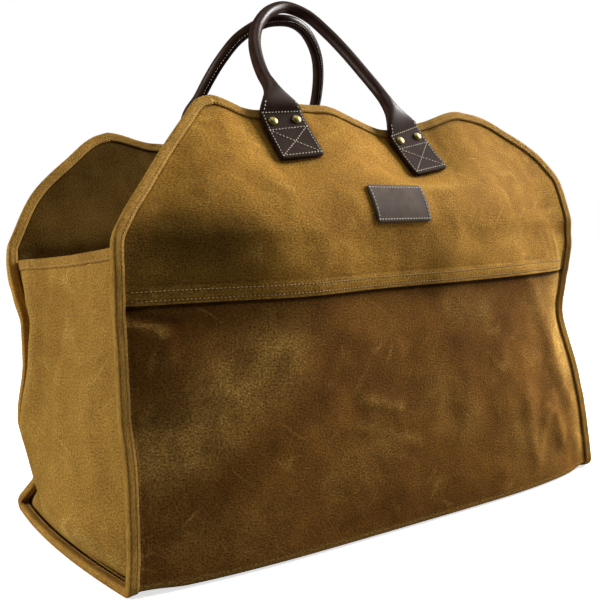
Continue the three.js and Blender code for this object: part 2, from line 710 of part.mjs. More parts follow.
function handleStrap(line) {
  const ends = STRAP_SECTIONS.map((row) => row.along);
  const start = ends.at(-1);
  const grip = line.length - 2 * start;
  const steps = Math.ceil(grip / GRIP_STEP);
  const middle = Array.from({ length: steps - 1 }, (_, k) => start + ((k + 1) / steps) * grip);
  const stops = [...ends, ...middle, ...ends.map((distance) => line.length - distance).reverse()];
  const fan = Array.from({ length: STRAP_SIDES - 2 }, (_, i) => [0, i + 1, i + 2]);
  return loft(stops.map((distance) => strapRing(line, distance)), fan);
}

// Where a handle's rivets go: two across each tab, square to the strap
function rivetSeats(line) {
  return [RIVET_ALONG, line.length - RIVET_ALONG].flatMap((distance) => [-1, 1].map((hand) => {
    const { point, across, face } = line.at(distance);
    return {
      position: point.addScaledVector(across, hand * RIVET_SPREAD),
      quaternion: new THREE.Quaternion().setFromUnitVectors(new THREE.Vector3(0, 1, 0), face),
    };
  }));
}

// A rivet stands on the middle of the strap's thickness: domed cap outside, burr inside the yoke
function rivetBody() {
  const seat = along(STRAP_SECTIONS, "along", "half_thick", RIVET_ALONG) + RIVET_SEAT;
  const profile = [
    [0, -RIVET_DEPTH - RIVET_BURR_HEIGHT],
    [RIVET_BURR, -RIVET_DEPTH - RIVET_BURR_HEIGHT],
    [RIVET_BURR, -RIVET_DEPTH],
    [RIVET_SHANK, -RIVET_DEPTH],
    [RIVET_SHANK, seat],
    [RIVET_CAP, seat],
    [RIVET_CAP * 0.94, seat + RIVET_CAP_HEIGHT * 0.4],
    [RIVET_CAP * 0.6, seat + RIVET_CAP_HEIGHT * 0.85],
    [0, seat + RIVET_CAP_HEIGHT],
  ];
  const outline = profile.map(([radius, height]) => new THREE.Vector2(radius, height));
  return new THREE.LatheGeometry(outline, RIVET_SIDES);
}

function toManifold(geometry) {
  const bare = geometry.clone();
  bare.deleteAttribute("normal");
  bare.deleteAttribute("uv");
  const merged = mergeVertices(bare);
  return new wasm.Manifold(new wasm.Mesh({
    numProp: 3,
    vertProperties: new Float32Array(merged.attributes.position.array),
    triVerts: new Uint32Array(merged.index.array),
  }));
}

// What is left of a solid when others are cut out of it, as one body
function cutAway(geometry, cutters) {
  const whole = cutters.reduce((body, cutter) => body.subtract(toManifold(cutter)), toManifold(geometry));
  const [body] = whole.decompose().sort((a, b) => b.volume() - a.volume());
  const mesh = body.getMesh();
  const result = new THREE.BufferGeometry();
  result.setAttribute("position", new THREE.BufferAttribute(mesh.vertProperties, 3));
  result.setIndex(new THREE.BufferAttribute(mesh.triVerts, 1));
  return result;
}

// The same solid with a hole for each rivet's shank
function drilled(geometry, seats) {
  const drill = new THREE.CylinderGeometry(
    RIVET_SHANK + CLEAR, RIVET_SHANK + CLEAR, HOLE_REACH, RIVET_SIDES,
  );
  return cutAway(geometry, seats.map(({ position, quaternion }) => drill.clone()
    .applyQuaternion(quaternion).translate(position.x, position.y, position.z)));
}

// The leather patch, bent to the yoke that it lies on
function labelPatch() {
  const stand = CANVAS / 2 + LABEL.seat + LABEL.thickness / 2;
  const spread = (middle, size, count) => Array.from(
    { length: count + 1 }, (_, i) => middle + size * (i / count - 0.5),
  );
  return sheet(spread(LABEL.z, LABEL.height, LABEL.rows).map(
    (level) => spread(LABEL.x, LABEL.width, LABEL.columns).map(
      (x) => yokePoint(FRONT, x, level).addScaledVector(sideNormal(FRONT, x, level), stand),
    ),
  ), LABEL.thickness);
}

const group = new THREE.Group();

function addPiece(name, geometry, material) {
  const mesh = new THREE.Mesh(geometry, material);
  mesh.name = name;
  group.add(mesh);
  return mesh;
}

addPiece("base_sling", sheet(gridOf([
  stripRow(BACK),
  ...slingRows,
  stripRow(FRONT),
]), CANVAS), canvas);
for (const [name, end, swell] of [["left", -1, LEFT_SWELL], ["right", 1, RIGHT_SWELL]]) {
  const { wall, grid } = gussetWall(end, swell);
  addPiece(`gusset_${name}`, sheet(grid, CANVAS), endCanvas);
  addPiece(`hem_${name}`, gussetHem(wall), tape);
}

for (const [name, rows, grip] of [["front", frontYokeRows, FRONT_GRIP], ["back", backYokeRows, BACK_GRIP]]) {
  const yoke = sheet(gridOf(rows), CANVAS);
  const line = handleLine(grip, new THREE.Mesh(yoke, canvas));
  const seats = rivetSeats(line);
  addPiece(`${name}_yoke`, drilled(yoke, seats), canvas);
  addPiece(`handle_${name}`, drilled(handleStrap(line), seats), leather);
  seats.forEach(({ position, quaternion }, k) => {
    const rivet = addPiece(`rivet_${name}_${k + 1}`, rivetBody(), brass);
    rivet.position.copy(position);
    rivet.quaternion.copy(quaternion);
  });
}
addPiece("edge_binding", edgeBinding(), tape);
addPiece("label_patch", labelPatch(), leather);

export default group;
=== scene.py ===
import bpy
import numpy as np
from mathutils.kdtree import KDTree
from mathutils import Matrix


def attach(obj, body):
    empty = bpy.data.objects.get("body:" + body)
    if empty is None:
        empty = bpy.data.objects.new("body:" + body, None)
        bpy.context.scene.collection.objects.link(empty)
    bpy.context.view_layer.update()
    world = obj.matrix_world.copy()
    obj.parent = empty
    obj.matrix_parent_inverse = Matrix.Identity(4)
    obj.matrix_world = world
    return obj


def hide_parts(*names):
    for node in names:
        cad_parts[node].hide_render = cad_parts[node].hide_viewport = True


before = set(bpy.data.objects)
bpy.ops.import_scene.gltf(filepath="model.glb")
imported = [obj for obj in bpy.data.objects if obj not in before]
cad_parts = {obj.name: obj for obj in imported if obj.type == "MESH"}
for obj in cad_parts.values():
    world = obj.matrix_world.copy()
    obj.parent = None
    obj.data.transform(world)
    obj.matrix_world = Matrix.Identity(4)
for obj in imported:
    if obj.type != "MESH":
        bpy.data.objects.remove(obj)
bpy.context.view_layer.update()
MM = 0.001

# Sling
# One long straight piece of waxed canvas: the lower front, the base and the lower back. It hangs from
# the yokes, bellies out over its foot, and its upper edges pass up behind the yokes' hems.
CANVAS = 1.6 * MM
BASE_FOLD = 7 * MM
BASE_BOW = 7 * MM
SLING_TOP = 229 * MM
MIDDLE_REACH = 105 * MM
CLOTH_STEP = 4 * MM
THREAD_PERIOD = 1.2 * MM
FOLD_TURNS = np.radians([15, 30, 45, 60, 75, 90])
BASE_SHARES = np.linspace(0.96, -0.96, 33)
# The cloth bows towards its ends by one power on the body and another on the yokes.
BOUND_END = 12 * MM
BODY_BOW = 4
YOKE_BOW = 1.4
BOW_CHANGE = (215 * MM, 265 * MM)
SWELL_FADE = 60 * MM
SAG_DEPTH = 85 * MM
SAG_FULL = 40 * MM
END_LIFT = 2.2 * MM
END_LIFT_SPAN = (236 * MM, 268 * MM)
END_LIFT_TOP = 100 * MM
PUCKER = 0.7 * MM
PUCKER_SIZE = 52 * MM
PUCKER_SQUEEZE = 4
PUCKER_REACH = 50 * MM
# The share of its waves that the cloth keeps at the bound ends and under the leather.
END_WAVES = 0.25
END_WAVES_SPAN = (4 * MM, 40 * MM)
LEATHER_WAVES = 0.12
LEATHER_FADE = 16 * MM
FOOT_FLAT = 34 * MM
LAP_FROM = 204 * MM
LAP_STEP = 1.4 * MM


def table(columns, rows):
    """Rows of millimetres, as one array in metres for each named column."""
    return dict(zip(columns.split(), np.array(rows, float).T * MM))


SIDE_WAVES = table("height size", [(1.5, 62), (0.8, 24), (0.22, 8)])

# The long sides as they stand, at levels of the cloth: how far each stands out from the centre plane
# in its middle and at its ends, how far it reaches along X, how its top edge sags, the main folds as
# ridges (below nothing: valleys) along lines, broad swells, the leather that keeps it flat, and where
# it is paler or darker: rubbed pale, with painted light on a strip that faces the light, and below
# nothing darker, as painted shade on the front yoke's lower left.
FRONT = {
    "sign": -1,
    "seed": 3,
    "top": 388 * MM,
    "levels": table("z middle left right left_half right_half", [
        (0, 146, 131, 126, 287, 282),
        (44, 142, 125, 119, 282, 281),
        (100, 137, 120, 105, 281, 281),
        (135, 133, 112, 92, 281, 281),
        (172, 127, 110, 80, 281, 280),
        (220, 119, 105, 86, 281, 279),
        (250, 118, 105, 88, 281, 280),
        (271, 117, 103, 86, 279, 282),
        (285, 114, 97, 81, 270, 283),
        (312, 99, 80, 70, 243, 283),
        (340, 72, 62, 57, 214, 266),
        (369, 47, 43, 41, 182, 219),
        (383, 35, 34, 33, 166, 188),
        (388, 31, 31, 31, 152, 156),
    ]),
    "sag": table("x drop", [
        (-185, -1), (-152, 0), (-105, 11), (-52, 3), (-30, 3), (52, 23), (105, 13), (152, 0), (185, -1),
    ]),
    "folds": table("x z to_x to_z width height", [
        (182, 214, 212, 162, 12, 2.4),
        (212, 162, 226, 112, 12, 3.4),
        (226, 112, 242, 80, 10, 3),
        (162, 98, 164, 52, 11, 2),
        (164, 52, 174, 26, 9, 1.8),
        (178, 42, 192, 68, 8, 1.8),
        (192, 68, 210, 76, 8, 2.2),
        (210, 76, 220, 42, 8, 2.2),
        (254, 32, 252, 10, 7, 1.6),
        (-57, 124, -20, 113, 7, 0.8),
        (-99, 101, -54, 102, 7, 0.8),
        (69, 130, 66, 54, 18, 1),
        (-273, 207, -245, 197, 7, 2.2),
        (-268, 216, -235, 207, 7, -1.6),
        (-223, 165, -181, 180, 16, 2.4),
        (-181, 180, -140, 171, 16, 2.2),
        (-240, 174, -230, 146, 9, 1.8),
        (-262, 172, -252, 138, 14, -2.4),
        (222, 260, 223, 236, 5, 0.9),
        (234, 262, 234, 235, 5, 1.1),
        (246, 258, 246, 235, 5, 0.9),
        (75, 268, 52, 246, 12, 1.2),
    ]),
    "swells": table("x z to_x to_z width height", [(-204, 314, -118, 243, 54, 13)]),
    "leather": table("x z half_width half_height", [
        (2.5, 294, 35, 18), (-80, 350, 26, 36), (77, 350, 26, 36),
    ]),
    # Pale shares are rubbed wear, but the strip at the right end, x 262, is painted light; the dark strokes
    # at z 238 to 262 on the yoke's lower left are painted shade.
    "wear_and_painted_light": table("x z to_x to_z width share", [
        (-250, 104, -150, 174, 32, 0.75), (262, 208, 250, 122, 30, 1), (236, 205, 200, 190, 22, 0.35),
        (60, 196, 100, 190, 16, 0.3), (258, 80, 262, 30, 14, 0.5), (150, 60, 190, 40, 30, 0.25),
        (30, 120, 70, 90, 26, 0.2), (-90, 60, -40, 80, 24, 0.2), (-244, 40, -170, 34, 30, 0.2),
        (-60, 124, -16, 112, 4, 0.5), (-66, 102, 6, 78, 4, 0.35), (-196, 72, -96, 140, 13, -0.2),
        (-266, 262, -196, 260, 34, -0.6), (-252, 238, -172, 240, 20, -0.5),
    ]),
}
BACK = {
    "sign": 1,
    "seed": 8,
    "top": 365 * MM,
    "levels": table("z middle left right left_half right_half", [
        (0, 148, 118, 120, 283, 281),
        (8, 149, 114, 120, 282, 281),
        (22, 152, 97, 119, 281, 281),
        (40, 156, 80, 118, 279, 281),
        (62, 160, 90, 116, 280, 281),
        (89, 164, 111, 112, 281, 281),
        (150, 161, 94, 98, 280, 280),
        (183, 156, 96, 100, 280, 280),
        (205, 152, 110, 108, 281, 281),
        (237, 148, 125, 120, 281, 281),
        (251, 147, 125, 122, 280, 280),
        (265, 146, 129, 127, 273, 273),
        (300, 149, 144, 141, 249, 249),
        (340, 155, 160, 157, 200, 200),
        (359, 159, 168, 165, 173, 173),
        (365, 160, 170, 167, 156, 156),
    ]),
    "sag": table("x drop", [
        (-185, -1), (-152, 0), (-105, 10), (-52, 11), (0, 8), (52, 11), (105, 10), (152, 0), (185, -1),
    ]),
    "folds": table("x z to_x to_z width height", [
        (-205, 190, -228, 120, 12, 3),
        (-190, 95, -176, 30, 9, 2.2),
        (210, 186, 226, 118, 11, 3),
        (176, 80, 196, 30, 8, 2),
        (-60, 150, 10, 138, 15, 1.4),
        (60, 110, 110, 128, 12, 1.2),
    ]),
    "swells": {},
    "leather": table("x z half_width half_height", [(-66, 330, 26, 36), (102, 330, 26, 36)]),
    "wear_and_painted_light": table("x z to_x to_z width share", [
        (-250, 180, -220, 90, 30, 0.4), (240, 190, 220, 80, 26, 0.4), (-60, 120, 40, 90, 36, 0.25),
    ]),
}


def smooth(value, low, high):
    """From 0 at low to 1 at high, gently."""
    t = np.clip((value - low) / (high - low), 0, 1)
    return t * t * (3 - 2 * t)


def unit(vectors):
    return vectors / np.linalg.norm(vectors, axis=-1, keepdims=True)


def along(rows, key, column, at):
    """One column of a table at places along its key: smooth, with no overshoot."""
    keys, values = rows[key], rows[column]
    slope = np.diff(values) / np.diff(keys)
    before, after = slope[:-1], slope[1:]
    same_way = before * after > 0
    inner = np.where(same_way, 2 * before * after / np.where(same_way, before + after, 1), 0)
    tangent = np.concatenate([slope[:1], inner, slope[-1:]])
    place = np.clip(at, keys[0], keys[-1])
    k = np.clip(np.searchsorted(keys, place) - 1, 0, len(keys) - 2)
    span = keys[k + 1] - keys[k]
    t = (place - keys[k]) / span
    rest = 1 - t
    ends = values[k] * rest**2 * (1 + 2 * t) + values[k + 1] * t**2 * (3 - 2 * t)
    return ends + span * t * rest * (tangent[k] * rest - tangent[k + 1] * t)


def cloth_noise(u, v, size, seed):
    """Soft random waves about one size apart, from -1 to 1."""
    cells = 128
    heights = np.random.default_rng(seed).uniform(-1, 1, (cells, cells))
    a, b = u / size + cells / 2, v / size + cells / 2
    i, j = np.floor(a).astype(int), np.floor(b).astype(int)
    s, t = smooth(a - i, 0, 1), smooth(b - j, 0, 1)
    at = lambda di, dj: heights[(i + di) % cells, (j + dj) % cells]
    return (at(0, 0) * (1 - s) + at(1, 0) * s) * (1 - t) + (at(0, 1) * (1 - s) + at(1, 1) * s) * t


def cloth_waves(waves, u, v, seed):
    """Soft random waves of several sizes, added up."""
    total = 0
    for k, (height, size) in enumerate(zip(*waves.values())):
        total = total + height * cloth_noise(u, v, size, seed + k)
    return total


def fold_height(folds, x, z):
    """How far a table of folds lifts the cloth at places on it."""
    ridges, valleys = np.zeros(np.shape(x)), np.zeros(np.shape(x))
    for start_x, start_z, to_x, to_z, width, height in zip(*folds.values()):
        run_x, run_z = to_x - start_x, to_z - start_z
        share = np.clip(((x - start_x) * run_x + (z - start_z) * run_z) / (run_x**2 + run_z**2), 0, 1)
        gap = np.hypot(x - start_x - share * run_x, z - start_z - share * run_z)
        lifted = height * np.exp(-((gap / width) ** 2))
        ridges, valleys = np.maximum(ridges, lifted), np.minimum(valleys, lifted)
    return ridges + valleys


def half_at(side, x, level):
    """How far a side reaches along X at a level, on the same hand as x."""
    left = along(side["levels"], "z", "left_half", level)
    return np.where(x < 0, left, along(side["levels"], "z", "right_half", level))


def column_x(side, column, level):
    """X of a column of the cloth, from -1 to 1: the middle half keeps its x at every level."""
    share = np.abs(column)
    spread = MIDDLE_REACH + (half_at(side, column, level) - MIDDLE_REACH) * (2 * share - 1)
    return np.sign(column) * np.where(share <= 0.5, 2 * share * MIDDLE_REACH, spread)


def lift(x, level):
    """Height of the cloth's middle above its level: near the ends it rises to let the tape in under it."""
    low = 1 - smooth(level, 0, END_LIFT_TOP)
    return CANVAS / 2 + END_LIFT * smooth(np.abs(x), *END_LIFT_SPAN) * low


def cloth_point(side, x, level):
    """A point of a long side's plain shape, in the middle of the cloth."""
    levels = side["levels"]
    half = half_at(side, x, level)
    share = np.minimum(1, np.abs(x) / (half - BOUND_END))
    high = smooth(level, *BOW_CHANGE)
    bow = (1 - high) * share**BODY_BOW + high * smooth(share**YOKE_BOW, 0, 1)
    end = np.where(x < 0, along(levels, "z", "left", level), along(levels, "z", "right", level))
    out = along(levels, "z", "middle", level) * (1 - bow) + end * bow
    out = out + fold_height(side["swells"], x, level) * smooth(half - np.abs(x), 0, SWELL_FADE)
    sag = along(side["sag"], "x", "drop", x) * smooth(level, side["top"] - SAG_DEPTH, side["top"] - SAG_FULL)
    return np.stack([x, side["sign"] * out, level - sag + lift(x, level)], -1)


def cloth_normal(side, x, level):
    sideways = cloth_point(side, x + MM, level) - cloth_point(side, x - MM, level)
    rising = cloth_point(side, x, level + MM) - cloth_point(side, x, level - MM)
    return unit(-side["sign"] * np.cross(sideways, rising))


def ripple(side, x, level):
    """How far waves, puckers at the bound ends and folds lift the cloth off its plain shape."""
    seed = side["seed"]
    from_end = half_at(side, x, level) - np.abs(x)
    waves = cloth_waves(SIDE_WAVES, x, level, seed)
    near_end = 1 - smooth(from_end, BOUND_END, PUCKER_REACH)
    puckers = PUCKER * cloth_noise(x, level * PUCKER_SQUEEZE, PUCKER_SIZE, seed + 3) * near_end
    lifted = waves * (END_WAVES + (1 - END_WAVES) * smooth(from_end, *END_WAVES_SPAN)) + puckers
    lifted = lifted + fold_height(side["folds"], x, level)
    for spot_x, spot_z, half_width, half_height in zip(*side["leather"].values()):
        beside = np.maximum(np.abs(x - spot_x) - half_width, 0)
        gap = np.hypot(beside, np.maximum(np.abs(level - spot_z) - half_height, 0))
        lifted = lifted * (LEATHER_WAVES + (1 - LEATHER_WAVES) * smooth(gap, 0, LEATHER_FADE))
    return lifted * smooth(level, 0, FOOT_FLAT)


def draped(side, x, level):
    """A point of a long side as it hangs, in the middle of the cloth."""
    x, level = np.broadcast_arrays(x, level)
    return cloth_point(side, x, level) + cloth_normal(side, x, level) * ripple(side, x, level)[..., None]


def side_rows(side, columns, levels):
    column, level = np.meshgrid(columns, levels)
    return draped(side, column_x(side, column, level), level)


def base_rows(columns):
    """Rows under the base, from the fold at the back's foot to the one at the front's."""
    feet = {side["sign"]: side_rows(side, columns, [BASE_FOLD])[0] for side in (FRONT, BACK)}
    folds = {}
    for sign, foot in feet.items():
        out = np.abs(foot[:, 1]) - BASE_FOLD * (1 - np.cos(FOLD_TURNS))[:, None]
        height = BASE_FOLD * (1 - np.sin(FOLD_TURNS))[:, None] + lift(foot[:, 0], 0)
        folds[sign] = np.stack([np.broadcast_to(foot[:, 0], out.shape), sign * out, height], -1)
    share = BASE_SHARES[:, None]
    x = feet[1][:, 0] * (1 + share) / 2 + feet[-1][:, 0] * (1 - share) / 2
    x = x - BASE_BOW * (1 - share**2) * np.where(columns < 0, columns**4, 0)
    reach = np.where(share >= 0, np.abs(feet[1][:, 1]), np.abs(feet[-1][:, 1])) - BASE_FOLD
    base = np.stack([x, share * reach, lift(x, 0)], -1)
    return np.concatenate([folds[1], base, folds[-1][::-1]])


def wear_and_light_rows(side, columns, levels):
    column, level = np.meshgrid(columns, levels)
    return fold_height(side["wear_and_painted_light"], column_x(side, column, level), level) / MM


def body_rows(columns, back_levels, front_levels):
    """Rows of the whole body: from the back's top down, under the base and up the front."""
    back, front = side_rows(BACK, columns, back_levels[::-1]), side_rows(FRONT, columns, front_levels)
    return np.concatenate([back, base_rows(columns), front])


def run_lengths(grid, axis):
    """How far along its own surface each point of a grid is, from the first row or column."""
    steps = np.linalg.norm(np.diff(grid, axis=axis), axis=-1)
    return np.insert(np.cumsum(steps, axis=axis), 0, 0, axis=axis)


def new_mesh(name, points, faces, weave, **marks):
    """A smooth mesh, with the lengths along its threads as a UV map and marks on its points."""
    mesh = bpy.data.meshes.new(name)
    mesh.from_pydata(points.tolist(), [], faces)
    corners = np.empty(len(mesh.loops), int)
    mesh.loops.foreach_get("vertex_index", corners)
    mesh.uv_layers.new(name="weave").data.foreach_set("uv", weave[corners].ravel())
    for mark, values in marks.items():
        mesh.attributes.new(mark, "FLOAT", "POINT").data.foreach_set("value", values)
    mesh.polygons.foreach_set("use_smooth", np.ones(len(mesh.polygons), bool))
    return mesh


def bent_out(grid, normal):
    """How sharply a grid of points bends: above nothing on ridges, below nothing in hollows."""
    total = 0
    for axis in (0, 1):
        step = np.gradient(grid, axis=axis)
        turn = np.gradient(step, axis=axis)
        total = total - (turn * normal).sum(-1) / (step * step).sum(-1)
    return total


def sheet_mesh(name, grid, thickness, wear_and_painted_light=None):
    """A closed wall of cloth or leather, half its thickness to each side of a grid of points."""
    normal = unit(np.cross(np.gradient(grid, axis=1), np.gradient(grid, axis=0)))
    layers = [grid + normal * thickness / 2, grid - normal * thickness / 2]
    bent = bent_out(grid, normal).ravel()
    rows, across = grid.shape[:2]
    count = rows * across
    index = np.arange(count).reshape(rows, across)
    outer = np.stack([index[:-1, :-1], index[:-1, 1:], index[1:, 1:], index[1:, :-1]], -1).reshape(-1, 4)
    border = np.concatenate([index[0, :-1], index[:-1, -1], index[-1, :0:-1], index[:0:-1, 0]])
    after = np.roll(border, -1)
    rim = np.stack([border + count, after + count, after, border], -1)
    faces = np.concatenate([outer, outer[:, ::-1] + count, rim])
    weave = np.stack([run_lengths(grid, 1), run_lengths(grid, 0)], -1).reshape(-1, 2)
    points = np.concatenate([layer.reshape(-1, 3) for layer in layers])
    # The inner layer is marked so that the canvas can darken it: painted shade inside the bag.
    marks = {"bent": np.concatenate([bent, -bent]), "inside": np.repeat([0.0, 1.0], count)}
    if wear_and_painted_light is not None:
        marks["wear_and_painted_light"] = np.tile(wear_and_painted_light.ravel(), 2)
    return new_mesh(name, points, faces.tolist(), np.concatenate([weave, weave]), **marks)


def add_piece(mesh, material, node):
    """A piece of the carrier that stands for one solid of the frame."""
    piece = bpy.data.objects.new(mesh.name, mesh)
    bpy.context.scene.collection.objects.link(piece)
    mesh.materials.append(material)
    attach(piece, "root")
    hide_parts(node)
    return piece


def add_node(tree, kind, inputs=(), **settings):
    """A node of a shader or geometry tree, with its inputs set or linked."""
    made = tree.nodes.new(kind)
    for name, value in settings.items():
        setattr(made, name, value)
    for socket, value in dict(inputs).items():
        if isinstance(value, bpy.types.NodeSocket):
            tree.links.new(value, made.inputs[socket])
        else:
            made.inputs[socket].default_value = value
    return made


def output(tree, kind, inputs=(), **settings):
    """The first output of a new node."""
    return add_node(tree, kind, inputs, **settings).outputs[0]


def new_material(name, finish):
    """A material, its node tree and its main shader, with the finish set on the shader."""
    material = bpy.data.materials.new(name)
    material.use_nodes = True
    shader = material.node_tree.nodes["Principled BSDF"]
    for socket, value in finish.items():
        shader.inputs[socket].default_value = value
    return material, material.node_tree, shader


def noise(tree, place, scale, detail, distortion=0.0):
    """A noise texture's value, scale to a metre."""
    inputs = {"Vector": place, "Scale": scale, "Detail": detail, "Roughness": 0.6, "Distortion": distortion}
    return add_node(tree, "ShaderNodeTexNoise", inputs).outputs["Fac"]


def ramp(tree, value, low, high, to_low=0.0, to_high=1.0):
    """A value taken from one range into another and kept inside it."""
    inputs = {"Value": value, "From Min": low, "From Max": high, "To Min": to_low, "To Max": to_high}
    return add_node(tree, "ShaderNodeMapRange", inputs).outputs["Result"]


def calculate(tree, operation, *values):
    return add_node(tree, "ShaderNodeMath", enumerate(values), operation=operation).outputs["Value"]


def mix(tree, factor, first, second, way="MIX"):
    """Two colours mixed: the node's sockets for colours are 6 and 7, and 2 comes out."""
    inputs = {"Factor": factor, 6: first, 7: second}
    return add_node(tree, "ShaderNodeMix", inputs, data_type="RGBA", blend_type=way).outputs[2]


def multiply(tree, *values):
    product = values[0]
    for value in values[1:]:
        product = calculate(tree, "MULTIPLY", product, value)
    return product


def mark(tree, name):
    """A mark that the mesh carries on its points."""
    return add_node(tree, "ShaderNodeAttribute", attribute_name=name).outputs["Fac"]


def creases(tree, weave, turn, scale):
    """Short pale strokes along one way on the cloth, as where it was once folded."""
    turned = output(tree, "ShaderNodeMapping", {"Vector": weave, "Rotation": (0, 0, turn)})
    drawn = output(tree, "ShaderNodeMapping", {"Vector": turned, "Scale": (0.3, 1, 1)})
    contour = calculate(tree, "ABSOLUTE", calculate(tree, "SUBTRACT", noise(tree, drawn, scale, 1), 0.5))
    shown = ramp(tree, noise(tree, turned, 22, 2), 0.5, 0.7)
    return multiply(tree, ramp(tree, contour, 0, 0.035, 1, 0), shown)


def waxed_canvas(name, waxed, bare, wear_and_painted_light):
    """Waxed canvas: clouds of dark and bare tone, pale creases and ridges, marks of wear and of painted light
    and shade, and painted shade in hollows, beside the seams and on the inner face.
    """
    material, tree, shader = new_material(name, {"Roughness": 0.75, "Specular IOR Level": 0.02})
    place = add_node(tree, "ShaderNodeTexCoord").outputs["Object"]
    weave = add_node(tree, "ShaderNodeUVMap", uv_map="weave").outputs["UV"]
    clouds = ramp(tree, noise(tree, place, 10, 5, 0.5), 0.32, 0.7)
    spots = ramp(tree, noise(tree, place, 44, 4, 0.6), 0.4, 0.72)
    tone = calculate(tree, "ADD", multiply(tree, clouds, 0.65), multiply(tree, spots, 0.35))
    colour = mix(tree, tone, waxed, bare)
    bent = mark(tree, "bent")
    ridges = ramp(tree, bent, 15, 110, 0, 0.45)
    one_way = ramp(tree, noise(tree, weave, 11, 1), 0.46, 0.54)
    lines = mix(tree, one_way, creases(tree, weave, 0.5, 34), creases(tree, weave, 2.2, 28))
    rubbed_and_lit = calculate(tree, "MAXIMUM", ridges, multiply(tree, lines, 0.38))
    # Marks above nothing make the cloth paler: rubbed wear, and painted light on a strip that faces the
    # light; below nothing they darken it as painted shade.
    wear_and_light_mark = mark(tree, "wear_and_painted_light")
    pale_wear_and_light = multiply(tree, wear_and_light_mark, calculate(tree, "ADD", multiply(tree, spots, 0.6), 0.5))
    rubbed_and_lit = calculate(tree, "MAXIMUM", rubbed_and_lit, pale_wear_and_light)
    stretched = output(tree, "ShaderNodeMapping", {"Vector": weave, "Scale": (0.75, 1, 1)})
    threads = noise(tree, stretched, 640, 2)
    flecks = ramp(tree, threads, 0.3, 0.72, 0.5, 1.5)
    colour = mix(tree, multiply(tree, rubbed_and_lit, flecks), colour, wear_and_painted_light)
    # Painted shade: hollows of the cloth are darker.
    hollows = ramp(tree, bent, -110, -15, 0.6, 1)
    # Painted shade: the seam mark darkens the cloth beside the binding and under the yokes' hems.
    shade = multiply(tree, flecks, hollows, ramp(tree, mark(tree, "seam"), 0, 1, 1, 0.25))
    # Painted shade on the inner face, and where the marks of wear and light are below nothing.
    shade = multiply(tree, shade, ramp(tree, mark(tree, "inside"), 0, 1, 1, 0.26), ramp(tree, wear_and_light_mark, -1, 0))
    grey = add_node(tree, "ShaderNodeCombineColor", enumerate([shade] * 3)).outputs["Color"]
    tree.links.new(mix(tree, 1.0, colour, grey, "MULTIPLY"), shader.inputs["Base Color"])
    wave_scale = 2 * np.pi / 20 / THREAD_PERIOD
    inputs = {"Vector": weave, "Scale": wave_scale}
    waves = [add_node(tree, "ShaderNodeTexWave", inputs, bands_direction=way).outputs["Fac"] for way in "XY"]
    height = calculate(tree, "ADD", multiply(tree, *waves, 0.6), multiply(tree, threads, 2.6))
    bump = add_node(tree, "ShaderNodeBump", {"Height": height, "Strength": 0.7, "Distance": 0.35 * MM})
    tree.links.new(bump.outputs["Normal"], shader.inputs["Normal"])
    return material


half_columns = np.concatenate([
    np.linspace(0, 0.5, 27), np.linspace(0.5, 0.9, 36)[1:], np.linspace(0.9, 1, 25)[1:],
])
cloth_columns = np.concatenate([-half_columns[:0:-1], half_columns])
sling_levels = np.concatenate([
    np.arange(BASE_FOLD, LAP_FROM, CLOTH_STEP), np.arange(LAP_FROM, SLING_TOP, LAP_STEP),
])
# The sling is given darker tones than the yokes, though it is the same canvas: painted shade on the lower
# body.
sling_canvas = waxed_canvas(
    "sling_canvas", (0.145, 0.058, 0.011, 1), (0.30, 0.134, 0.0235, 1), (0.62, 0.36, 0.085, 1),
)
sling_rows = body_rows(cloth_columns, sling_levels, sling_levels)
sling_wear_and_light = np.zeros(sling_rows.shape[:2])
sling_wear_and_light[:len(sling_levels)] = wear_and_light_rows(BACK, cloth_columns, sling_levels[::-1])
sling_wear_and_light[-len(sling_levels):] = wear_and_light_rows(FRONT, cloth_columns, sling_levels)
sling = add_piece(
    sheet_mesh("sling", sling_rows, CANVAS, sling_wear_and_light), sling_canvas, "base_sling",
)

# End walls
# A panel of the same canvas closes each end up to the logs. Its edges turn out into the seams with the
# sling and yokes; the left one is pushed out by its cloth low down, and the right one is folded in.
PLY = 1.9 * MM
FLANGE = 10 * MM
FLANGE_DEPTHS = np.array([10, 8, 5.5, 3, 0.6]) * MM
INNER_COLUMN = 0.965
WALL_TOP = {"front": 266 * MM, "back": 239 * MM}
WALL_STEPS = 61
WALL_WAVES = table("height size", [(1.6, 46), (0.6, 17)])
SWELL_PLACES = {"front": 0.25, "middle": 0.5, "back": 0.75}
SWELL_REACH = 0.25
SWELL_STEEP = 0.9
PINCH_EDGE = (-3 * MM, 8 * MM)
PINCH_FADE = (12 * MM, 90 * MM)
PINCH_FADES_BY = 0.8
PINCH_DROP = 0.25
SETTLE_SPAN = (2 * MM, 24 * MM)
FREE_FROM = 22 * MM
FREE_POWER = 0.6
TOP_SAG = 2 * MM
